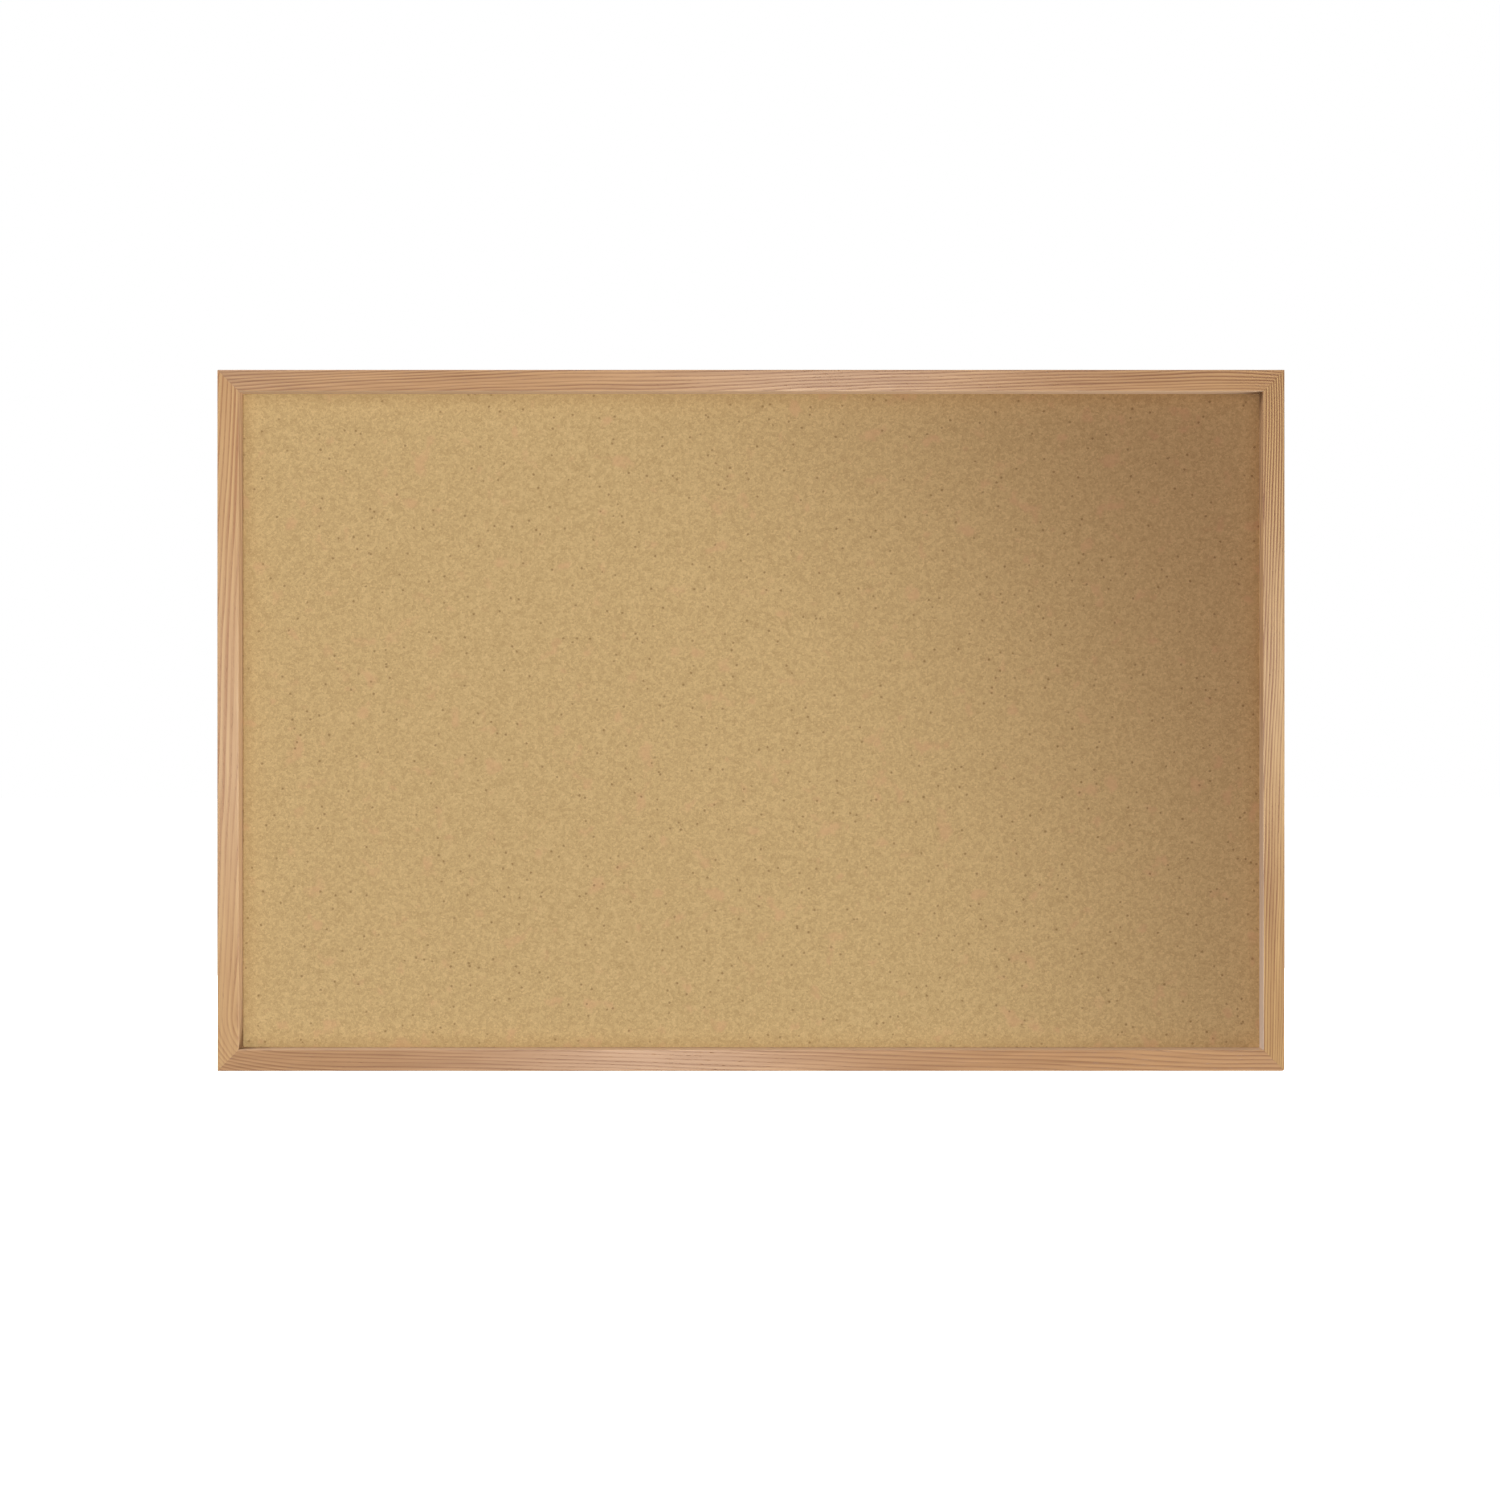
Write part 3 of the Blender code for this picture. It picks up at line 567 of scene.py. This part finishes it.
def steel_material(name):
    """Rolled or plated steel: fine rolling lines, cloudy tarnish and small dark pits."""
    clean, dull, clouds, rough = STEELS[name]
    shader = Shader(name, {"Metallic": 1.0})
    rolled = shader.noise(shader.stretched(STEEL_ROLLING), detail=3.0)
    tarnish = shader.noise(shader.stretched(clouds), detail=4.0, roughness=0.65)
    pits = shader.cells(shader.stretched(STEEL_PITS))["Distance"]
    pit = shader.scaled(pits, 0.10, 0.22, 0.35, 0.0)
    colour = shader.mixed(shader.scaled(tarnish, 0.38, 0.66), srgb(*clean), srgb(*dull))
    shader.colour(shader.mixed(pit, colour, srgb(*dull)))
    shader.roughness(shader.scaled(tarnish, 0.3, 0.7, *rough))
    shader.bump((rolled, 0.01 * MM), (tarnish, 0.03 * MM))
    return shader.material


def rubber_material():
    """Moulded black rubber, slightly dusty, with a fine matt skin."""
    shader = Shader("moulded_rubber", {"Specular IOR Level": 0.4})
    skin = shader.noise(shader.stretched(RUBBER_SKIN), detail=3.0)
    dust = shader.noise(shader.stretched(RUBBER_DUST), detail=3.0, roughness=0.7)
    dusty = shader.scaled(dust, 0.4, 0.75)
    shader.colour(shader.mixed(dusty, *(srgb(*values) for values in RUBBER_TONES)))
    shader.roughness(shader.scaled(dust, 0.3, 0.7, *RUBBER_ROUGH))
    shader.bump((skin, 0.04 * MM))
    return shader.material


def floor_material():
    """Plain white floor, faintly mottled, that shows as bright as the background behind it."""
    shader = Shader("white_floor", {"Roughness": 0.9, "Emission Strength": 1.0})
    cloud = shader.noise(shader.stretched(FLOOR_CLOUDS), detail=2.0)
    cloudy = shader.scaled(cloud, 0.3, 0.7)
    white = shader.mixed(cloudy, *(srgb(*values) for values in FLOOR_TONES))
    shader.colour(white)
    shader.feed(shader.surface.inputs["Emission Color"], white)
    return shader.material


# ---------------------------------------------------------------- mesh tools


def add_piece(name, mesh, material, body, node, turn=0):
    """A finished mesh, turned about Y by degrees, as a piece that rides on a body and stands for a node."""
    obj = bpy.data.objects.new(name, mesh)
    mesh.materials.clear()
    mesh.materials.append(material)
    bpy.context.scene.collection.objects.link(obj)
    obj.rotation_euler = (0.0, math.radians(turn), 0.0)
    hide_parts(node)
    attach(obj, body)


def smooth(mesh, angle=35):
    """Smooth shading, except where faces meet at more than angle degrees."""
    mesh.shade_smooth()
    mesh.set_sharp_from_angle(angle=math.radians(angle))
    return mesh


def evaluated(mesh, *modifiers):
    """The mesh after modifiers, each given as (type, settings)."""
    holder = bpy.data.objects.new("holder", mesh)
    bpy.context.scene.collection.objects.link(holder)
    for kind, settings in modifiers:
        modifier = holder.modifiers.new(kind.lower(), kind)
        for label, value in settings.items():
            setattr(modifier, label, value)
    graph = bpy.context.evaluated_depsgraph_get()
    made = bpy.data.meshes.new_from_object(holder.evaluated_get(graph))
    bpy.data.objects.remove(holder)
    return made


def boolean(mesh, operation, cutter_mesh):
    """The mesh after a Boolean with another."""
    cutter = bpy.data.objects.new("cutter", cutter_mesh)
    bpy.context.scene.collection.objects.link(cutter)
    made = evaluated(mesh, ("BOOLEAN", {"operation": operation, "object": cutter}))
    bpy.data.objects.remove(cutter)
    return made


def arc(centre, radius, start, turn, steps):
    """Points along an arc, from the angle start through turn, both ends included."""
    points = []
    for i in range(steps + 1):
        angle = start + turn * i / steps
        points.append((centre[0] + radius * math.cos(angle), centre[1] + radius * math.sin(angle)))
    return points


def rounded(corners, steps=6):
    """A closed outline from (x, y, radius) corners, with an arc at each corner that has a radius."""
    points = []
    for i, (x, y, radius) in enumerate(corners):
        corner = Vector((x, y))
        if not radius:
            points.append((x, y))
            continue
        to_last = (Vector(corners[i - 1][:2]) - corner).normalized()
        to_next = (Vector(corners[(i + 1) % len(corners)][:2]) - corner).normalized()
        half = to_last.angle(to_next) / 2
        centre = corner + (to_last + to_next).normalized() * radius / math.sin(half)
        start = corner + to_last * radius / math.tan(half) - centre
        end = corner + to_next * radius / math.tan(half) - centre
        first = math.atan2(start.y, start.x)
        turn = (math.atan2(end.y, end.x) - first + math.pi) % math.tau - math.pi
        points += arc(centre, radius, first, turn, steps)
    return points


def resampled(outline, step):
    """The closed outline with points added so that none of its sides is longer than step."""
    points = []
    for start, end in zip(outline, outline[1:] + outline[:1]):
        pieces = max(1, math.ceil(math.dist(start, end) / step))
        for i in range(pieces):
            points.append(tuple(a + (b - a) * i / pieces for a, b in zip(start, end)))
    return points


def curve_mesh(points, matrix, extrude=0.0, bevel=0.0, closed=True):
    """The welded mesh of a poly curve in its own XY plane, extruded or bevelled, laid by matrix."""
    curve = bpy.data.curves.new("outline", "CURVE")
    flat = closed and not bevel
    curve.dimensions = "2D" if flat else "3D"
    curve.fill_mode = "BOTH" if flat else "FULL"
    curve.extrude = extrude
    curve.bevel_depth = bevel
    curve.bevel_resolution = WIRE_RESOLUTION
    spline = curve.splines.new("POLY")
    spline.points.add(len(points) - 1)
    for point, place in zip(spline.points, points):
        point.co = (place[0], place[1], 0.0, 1.0)
    spline.use_cyclic_u = closed
    holder = bpy.data.objects.new("outline", curve)
    bpy.context.scene.collection.objects.link(holder)
    graph = bpy.context.evaluated_depsgraph_get()
    mesh = bpy.data.meshes.new_from_object(holder.evaluated_get(graph))
    bpy.data.objects.remove(holder)
    shape = bmesh.new()
    shape.from_mesh(mesh)
    bmesh.ops.remove_doubles(shape, verts=shape.verts, dist=0.001 * MM)
    bmesh.ops.transform(shape, matrix=matrix, verts=shape.verts)
    bmesh.ops.recalc_face_normals(shape, faces=shape.faces)
    shape.to_mesh(mesh)
    shape.free()
    return mesh


def prism(points, low, high):
    """A closed outline in (x, z) made solid from y = low to y = high."""
    middle = Matrix.Translation((0, 0, -(low + high) / 2))
    return curve_mesh(points, IN_XZ @ middle, extrude=(high - low) / 2)


def turned(profile, sides):
    """A solid turned about Y from (radius, y) points that run down its outer side."""
    mesh = bpy.data.meshes.new("profile")
    vertices = [(radius, 0.0, height) for radius, height in profile]
    mesh.from_pydata(vertices, [(i, i + 1) for i in range(len(vertices) - 1)], [])
    settings = {"steps": sides, "render_steps": sides, "use_merge_vertices": True}
    made = evaluated(mesh, ("SCREW", {**settings, "merge_threshold": 0.001 * MM}))
    made.transform(Matrix.Rotation(-math.pi / 2, 4, "X"))
    return made


def thickened(mesh, thickness):
    """An open sheet made solid, half its thickness to each side."""
    settings = {"thickness": thickness, "offset": 0.0, "use_even_offset": True}
    return evaluated(mesh, ("SOLIDIFY", settings))


# ---------------------------------------------------------------- frame rails


def rail_section(outer):
    """The moulding's section in (y, z), with its outer edge at z = -outer."""
    inner, rabbet = -outer + FRAME_FACE, -outer + BACK_WOOD
    return rounded(
        [
            (FRONT_Y, -outer, FRONT_OUTER_ROUND),
            (BACK_Y, -outer, BACK_OUTER_ROUND),
            (BACK_Y, rabbet, BACK_INNER_ROUND),
            (LIP_Y, rabbet, 0),
            (LIP_Y, inner, 0),
            (FRONT_Y, inner, FRONT_INNER_ROUND),
        ]
    )


def outward(section):
    """The outward normal at each point of a closed section."""
    normals = []
    for i, _ in enumerate(section):
        (y0, z0), (y1, z1) = section[i - 1], section[(i + 1) % len(section)]
        normals.append(Vector((z0 - z1, y1 - y0)).normalized())
    area = sum(a[0] * b[1] - b[0] * a[1] for a, b in zip(section, section[1:] + section[:1]))
    return [normal if area < 0 else -normal for normal in normals]


def wood_relief(x, y, z, seed):
    """How far the surface stands out: raised fibres and the slow waves that sanding leaves."""
    fibre = noise.noise(Vector((x / FIBRE_LENGTH, y / FIBRE_WIDTH, z / FIBRE_WIDTH + seed)))
    sanding = noise.noise(Vector((x / SANDING_LENGTH, y / SANDING_LENGTH + seed, z / SANDING_LENGTH)))
    return FIBRE_RELIEF * fibre + SANDING_RELIEF * sanding


def rail_stations(length):
    """Shares along the rail from -1 to 1, close together where its outer corners are rounded."""
    fine_reach = CORNER_ROUNDS["worn"] + CORNER_STEP
    places = [length / 2 - i * CORNER_STEP for i in range(math.ceil(fine_reach / CORNER_STEP))]
    coarse = places[-1] - RAIL_STEP / 2
    steps = math.ceil(coarse / RAIL_STEP)
    places += [coarse * (steps - i) / steps for i in range(steps)]
    shares = [2 * place / length for place in places]
    return [-share for share in shares] + [0.0] + shares[::-1]


def round_corner(x, z, length, outer, radius):
    """The point (x, z) drawn in where it lies past the rounded outer corner at its end."""
    over_x, over_z = abs(x) - (length / 2 - radius), -outer + radius - z
    reach = math.hypot(over_x, over_z)
    if over_x <= 0 or over_z <= 0 or reach <= radius:
        return x, z
    share = radius / reach
    return math.copysign(length / 2 - radius + over_x * share, x), -outer + radius - over_z * share


def rail_mesh(length, outer, seed, rounds):
    """A rail along X whose surface follows the grain, with its ends on the 45 degree mitre planes and
    the radii in rounds at its two outer corners."""
    section = resampled(rail_section(outer), SECTION_STEP)
    normals = outward(section)
    shape = bmesh.new()
    rings = []
    for share in rail_stations(length):
        ring = []
        for (y, z), normal in zip(section, normals):
            lift = wood_relief(share * length / 2, y, z, seed)
            y_out, z_out = y + normal.x * lift, z + normal.y * lift
            x = share * (length / 2 - (z_out + outer) - MITRE_GAP)
            x, z_out = round_corner(x, z_out, length, outer, rounds[share > 0])
            ring.append(shape.verts.new((x, y_out, z_out)))
        rings.append(ring)
    for here, there in zip(rings, rings[1:]):
        for i, _ in enumerate(here):
            shape.faces.new((here[i - 1], here[i], there[i], there[i - 1]))
    shape.faces.new(rings[0])
    shape.faces.new(rings[-1])
    bmesh.ops.recalc_face_normals(shape, faces=shape.faces)
    mesh = bpy.data.meshes.new("rail")
    shape.to_mesh(mesh)
    shape.free()
    return smooth(mesh, 40)


def make_rails():
    """The four rails, each made lying along X and turned into its place. Corners are at -X and at +X."""
    long_way = (BOARD_WIDTH, BOARD_HEIGHT / 2)
    short_way = (BOARD_HEIGHT, BOARD_WIDTH / 2)
    plan = {
        "rail_bottom": (0, long_way, ("sharp", "worn")),
        "stile_left": (90, short_way, ("sharp", "sharp")),
        "rail_top": (180, long_way, ("sharp", "sharp")),
        "stile_right": (270, short_way, ("worn", "sharp")),
    }
    for number, (name, (turn, (length, outer), corners)) in enumerate(plan.items()):
        rounds = [CORNER_ROUNDS[corner] for corner in corners]
        mesh = rail_mesh(length, outer, number * RELIEF_SEED, rounds)
        oak = oak_material(name, length, FRAME_FACE - outer)
        add_piece("oak_" + name, mesh, oak, "board", "frame_" + name, turn)


# ---------------------------------------------------------------- panel


def slab(low, high, step, side, relief, inset=0.0):
    """A closed sheet between two corners. The face on side (-1 front, 1 back) is a fine grid that
    relief(x, z) lifts outwards, and inset keeps a flat margin around it."""
    columns = math.ceil((high.x - low.x) / step)
    rows = math.ceil((high.z - low.z) / step)
    face_y, other_y = (low.y, high.y) if side < 0 else (high.y, low.y)
    shape = bmesh.new()
    bmesh.ops.create_grid(shape, x_segments=columns, y_segments=rows, size=0.5)
    for vert in shape.verts:
        x = low.x + (vert.co.x + 0.5) * (high.x - low.x)
        z = low.z + (vert.co.y + 0.5) * (high.z - low.z)
        edge = min(x - low.x, high.x - x, z - low.z, high.z - z)
        lift = relief(x, z) if edge > inset else 0.0
        vert.co = (x, face_y + side * lift, z)
    middle = (low + high) / 2
    rim = [vert for vert in shape.verts if vert.is_boundary]
    rim.sort(key=lambda vert: math.atan2(vert.co.z - middle.z, vert.co.x - middle.x))
    far = [shape.verts.new((vert.co.x, other_y, vert.co.z)) for vert in rim]
    for i, _ in enumerate(rim):
        shape.faces.new((rim[i - 1], rim[i], far[i], far[i - 1]))
    shape.faces.new(far)
    bmesh.ops.recalc_face_normals(shape, faces=shape.faces)
    mesh = bpy.data.meshes.new("slab")
    shape.to_mesh(mesh)
    shape.free()
    return smooth(mesh, 40)


def cork_relief(x, z):
    """The cork's lumps: low under its highest plane, so that the face never leaves the CAD's."""
    coarse = noise.noise(Vector((x / CORK_LUMP, 0.0, z / CORK_LUMP)))
    fine = noise.noise(Vector((x / CORK_LUMP * CORK_FINER, 5.0, z / CORK_LUMP * CORK_FINER)))
    return CORK_RELIEF * (0.6 * coarse + 0.4 * fine - 1.0)


def kraft_relief(x, z):
    """Broad shallow puckers, as of paper glued down damp."""
    wide = noise.noise(Vector((x / KRAFT_PUCKER, 2.0, z / KRAFT_PUCKER)))
    crease = noise.noise(Vector((x / KRAFT_PUCKER * 4, 9.0, z / KRAFT_PUCKER * 1.2)))
    return KRAFT_RELIEF * (wide + 0.5 * (1 - abs(crease) * 4) - 0.5)


def make_panel():
    """The cork and the kraft paper. The fibreboard between them keeps its CAD mesh."""
    low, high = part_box("cork_sheet")
    mesh = slab(low, high, CORK_STEP, -1, cork_relief, LIP_WIDTH)
    add_piece("cork_face", mesh, cork_material(), "board", "cork_sheet")
    low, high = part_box("kraft_backing_paper")
    mesh = slab(low, high, KRAFT_STEP, 1, kraft_relief)
    add_piece("kraft_backing", mesh, kraft_material(), "board", "kraft_backing_paper")


# ---------------------------------------------------------------- hardware


def make_v_nails(material):
    """V-nails driven in across each mitre until only their back edges show."""
    for end_name, end in ENDS.items():
        for side_name, side in SIDES.items():
            for place, vertex in NAIL_VERTEX.items():
                legs = [
                    (vertex - NAIL_CURL, vertex + NAIL_LEG),
                    (vertex, vertex + NAIL_LEG - NAIL_CURL),
                    (vertex, vertex),
                    (vertex + NAIL_LEG - NAIL_CURL, vertex),
                    (vertex + NAIL_LEG, vertex - NAIL_CURL),
                ]
                path = [
                    (side * (BOARD_WIDTH / 2 - along), end * (BOARD_HEIGHT / 2 - up))
                    for along, up in legs
                ]
                back = BACK_Y + NAIL_PROUD
                middle = IN_XZ @ Matrix.Translation((0, 0, NAIL_DEPTH / 2 - back))
                sheet = curve_mesh(path, middle, extrude=NAIL_DEPTH / 2, closed=False)
                settings = {"width": NAIL_EDGE, "segments": 2, "limit_method": "ANGLE"}
                mesh = smooth(evaluated(thickened(sheet, NAIL_THICKNESS), ("BEVEL", settings)))
                corner = f"{end_name}_{side_name}_{place}"
                add_piece("nail_" + corner, mesh, material, "board", "v_nail_" + corner)


def strap_path(axis_y, length):
    """The folded strip in (y, z) about the ring's axis: up the wood, round the bar and back down."""
    near = axis_y - LOOP_RADIUS
    far = near + STRAP_THICKNESS + STRAP_LAYER_GAP
    loop = arc((axis_y, 0.0), LOOP_RADIUS, math.pi, -LOOP_WRAP, 28)
    heading = math.pi / 2 - LOOP_WRAP
    run = (far - loop[-1][0]) / math.cos(heading)
    landing = (far, loop[-1][1] + run * math.sin(heading))
    return [(near, -length), *loop, landing, (far, -length)]


def strap_mesh(axis, low_z, width, screw_heights):
    """A strip folded round the ring's bar, rounded at its end, with a hole for each screw."""
    x = axis.x
    half = width / 2
    length = axis.z - low_z + PAST
    sheet = curve_mesh(strap_path(axis.y, length), IN_YZ, extrude=half + PAST, closed=False)
    mesh = thickened(sheet, STRAP_THICKNESS)
    mesh.transform(Matrix.Translation((x, 0, axis.z)))
    above = axis.z + 2 * LOOP_RADIUS
    outline = rounded(
        [
            (x - half, above, 0),
            (x - half, low_z, STRAP_END_ROUND),
            (x + half, low_z, STRAP_END_ROUND),
            (x + half, above, 0),
        ]
    )
    reach = 3 * LOOP_RADIUS
    mesh = boolean(mesh, "INTERSECT", prism(outline, axis.y - reach, axis.y + reach))
    for z in screw_heights:
        hole = turned([(0, reach), (SCREW_HOLE, reach), (SCREW_HOLE, -reach), (0, -reach)], 32)
        hole.transform(Matrix.Translation((x, axis.y, z)))
        mesh = boolean(mesh, "DIFFERENCE", hole)
    settings = {"width": STRAP_EDGE, "segments": 2, "limit_method": "ANGLE"}
    return smooth(evaluated(mesh, ("BEVEL", {**settings, "angle_limit": STRAP_EDGE_ANGLE})))


def recess_mesh(turn):
    """One arm of a screw's cross recess: a slim tapered blade sunk into the head, turned about Y."""
    narrow, wide = RECESS_RADII
    square_on = Matrix.Rotation(math.pi / 4, 4, "Z")
    settings = {"segments": 4, "radius1": narrow, "radius2": wide, "depth": RECESS_DEPTH}
    shape = bmesh.new()
    bmesh.ops.create_cone(shape, cap_ends=True, matrix=square_on, **settings)
    mesh = bpy.data.meshes.new("recess")
    shape.to_mesh(mesh)
    shape.free()
    mesh.transform(Matrix.Diagonal((1.0, RECESS_SLIMNESS, 1.0, 1.0)))
    mesh.transform(Matrix.Translation((0, 0, SCREW_HEAD_HEIGHT - RECESS_SINK)))
    mesh.transform(Matrix.Rotation(turn, 4, "Z"))
    mesh.transform(Matrix.Rotation(-math.pi / 2, 4, "X"))
    return mesh


def screw_mesh():
    """A pan head with a cross recess on a pointed shank, its seat at y = 0."""
    head = arc((0.0, 0.0), 1.0, math.pi / 2, -math.pi / 2, 12)
    profile = [(x * SCREW_HEAD_RADIUS, y * SCREW_HEAD_HEIGHT) for x, y in head]
    profile += [(SCREW_HEAD_RADIUS - SCREW_RIM, SCREW_UNDERSIDE), (SHANK_RADIUS, SCREW_UNDERSIDE)]
    profile += [(SHANK_RADIUS, SHANK_END), (0.0, SCREW_TIP)]
    mesh = turned(profile, 48)
    for turn in (0.0, math.pi / 2):
        mesh = boolean(mesh, "DIFFERENCE", recess_mesh(turn))
    return smooth(mesh, 30)


def ring_mesh(tilt):
    """A D of round wire about the hinge axis, folded down over its strap."""
    half = RING_SPAN / 2
    low = half - RING_REACH
    bar = [(-half, low, 0), (-half, 0.0, RING_CORNER), (half, 0.0, RING_CORNER), (half, low, 0)]
    bow = arc((0.0, low), half, 0.0, -math.pi, 48)
    path = rounded(bar, steps=10) + bow[1:-1]
    mesh = curve_mesh(path, IN_XZ, bevel=RING_WIRE)
    mesh.transform(Matrix.Rotation(tilt, 4, "X"))
    return smooth(mesh)


def make_hanger(side, steel, rng):
    """Strap, screws and ring on the back of one stile."""
    joint = next(joint for joint in frame["joints"] if joint["child"] == side + "_ring")
    axis = Vector(joint["pos_m"])
    low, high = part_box("hanger_strap_" + side)
    heads = {}
    for place in ("upper", "lower"):
        node = f"hanger_screw_{side}_{place}"
        screw_low, screw_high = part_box(node)
        heads[node] = (screw_low.z + screw_high.z) / 2
    mesh = strap_mesh(axis, low.z, high.x - low.x, heads.values())
    add_piece("strap_" + side, mesh, steel, "board", "hanger_strap_" + side)
    back_y = axis.y - LOOP_RADIUS + 1.5 * STRAP_THICKNESS + STRAP_LAYER_GAP
    for node, z in heads.items():
        mesh = screw_mesh()
        mesh.transform(Matrix.Rotation(rng.uniform(0, math.pi / 2), 4, "Y"))
        mesh.transform(Matrix.Translation((axis.x, back_y + GLUE, z)))
        add_piece(node.replace("hanger_", ""), mesh, steel, "board", node)
    tilt = math.asin((back_y + RING_WIRE + RING_REST_GAP - axis.y) / RING_REACH)
    mesh = ring_mesh(tilt)
    mesh.transform(Matrix.Translation(axis))
    node = "hanger_ring_" + side
    add_piece("ring_" + side, mesh, steel, side + "_ring", node)


def make_bumper(side, rubber):
    """A moulded foot with a rounded shoulder and a faintly dished face."""
    low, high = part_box("bumper_" + side)
    radius, height = (high.x - low.x) / 2, high.y - low.y
    face = radius - FOOT_TAPER - FOOT_SHOULDER
    dish = height - FOOT_DISH
    flash_top, flash_bottom = FOOT_FLASH_HEIGHTS
    profile = [(0.0, dish), (face * FOOT_DISH_SHARE, dish + FOOT_DISH_RISE)]
    profile += arc((face, height - FOOT_SHOULDER), FOOT_SHOULDER, math.pi / 2, FOOT_SHOULDER_TURN, 10)
    profile += [(radius - FOOT_FLASH, flash_top), (radius, flash_bottom), (radius, 0.0), (0.0, 0.0)]
    mesh = smooth(turned(profile, 64), 50)
    mesh.transform(Matrix.Translation(((low.x + high.x) / 2, low.y, (low.z + high.z) / 2)))
    add_piece("foot_" + side, mesh, rubber, "board", "bumper_" + side)


# ---------------------------------------------------------------- stage


def make_floor():
    """A pale floor below the board, which only the camera sees."""
    bpy.ops.mesh.primitive_plane_add(size=FLOOR_SIZE, location=(0, 0, cad_box[0].z - FLOOR_DROP))
    floor = bpy.context.object
    floor.name = "floor"
    floor.data.materials.append(floor_material())
    floor.visible_diffuse = False
    floor.visible_glossy = False
    floor.visible_shadow = False
    floor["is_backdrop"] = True


def make_world():
    """A white background, dimmer as light and a little dimmer in reflections than it looks."""
    world = bpy.data.worlds.new("white_background")
    world.use_nodes = True
    tree = world.node_tree
    paths = tree.nodes.new("ShaderNodeLightPath").outputs
    result = tree.nodes["Background"].outputs[0]
    tree.nodes["Background"].inputs["Color"].default_value = (AMBIENT, AMBIENT, AMBIENT, 1.0)
    for ray, level in (("Is Glossy Ray", REFLECTED), ("Is Camera Ray", 1.0)):
        seen = tree.nodes.new("ShaderNodeBackground")
        seen.inputs["Color"].default_value = (level, level, level, 1.0)
        mix = tree.nodes.new("ShaderNodeMixShader")
        tree.links.new(paths[ray], mix.inputs[0])
        tree.links.new(result, mix.inputs[1])
        tree.links.new(seen.outputs[0], mix.inputs[2])
        result = mix.outputs[0]
    tree.links.new(result, tree.nodes["World Output"].inputs["Surface"])
    bpy.context.scene.world = world


def light_up(name, kind, place, aim, watts, receivers, settings):
    """A light at place that faces aim, and lights only the receivers if there are any."""
    light = bpy.data.lights.new(name, kind)
    light.energy = watts
    for label, value in settings.items():
        setattr(light, label, value)
    obj = bpy.data.objects.new(name, light)
    bpy.context.scene.collection.objects.link(obj)
    obj.location = place
    obj.rotation_euler = (Vector(aim) - Vector(place)).to_track_quat("-Z", "Y").to_euler()
    obj.visible_camera = False
    if receivers:
        group = bpy.data.collections.new(name + "_receivers")
        for piece in receivers:
            group.objects.link(piece)
        obj.light_linking.receiver_collection = group
        if name in UNSHADED:
            obj.light_linking.blocker_collection = group


def make_lights():
    """Soft studio lights: a key from the upper left and lights in front, each for the cork or for the
    rest, two that skim the frame from below and above, and two behind."""
    cork = bpy.data.objects["cork_face"]
    rest = [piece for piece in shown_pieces() if piece != cork]
    receivers = {"all": None, "cork": [cork], "rest": rest}
    for name, (kind, place, aim, watts, lit, settings) in LIGHTS.items():
        light_up(name, kind, place, aim, watts, receivers[lit], settings)


def make_camera():
    """Square on to the board, a little below its middle, as a product shot is framed."""
    data = bpy.data.cameras.new("camera")
    data.lens = CAMERA_LENS
    camera = bpy.data.objects.new("camera", data)
    bpy.context.scene.collection.objects.link(camera)
    camera.location = (CAMERA_PLACE[0], FRONT_Y - CAMERA_DISTANCE, CAMERA_PLACE[1])
    camera.rotation_euler = (math.pi / 2, 0.0, 0.0)
    bpy.context.scene.camera = camera


make_rails()
make_panel()
nail_steel = steel_material("dull_nail_steel")
zinc_steel = steel_material("zinc_plate")
black_rubber = rubber_material()
make_v_nails(nail_steel)
turns = random.Random(SCREW_SEED)
for side_name in SIDES:
    make_hanger(side_name, zinc_steel, turns)
    make_bumper(side_name, black_rubber)
frame["nodes"]["fibreboard_core"].material_slots[0].material = fibreboard_material()
for node_name, node in frame["nodes"].items():
    if node_name.startswith("panel_point"):
        node.material_slots[0].material = nail_steel

make_floor()
make_world()
make_lights()
make_camera()
bpy.context.scene.view_settings.view_transform = "Standard"
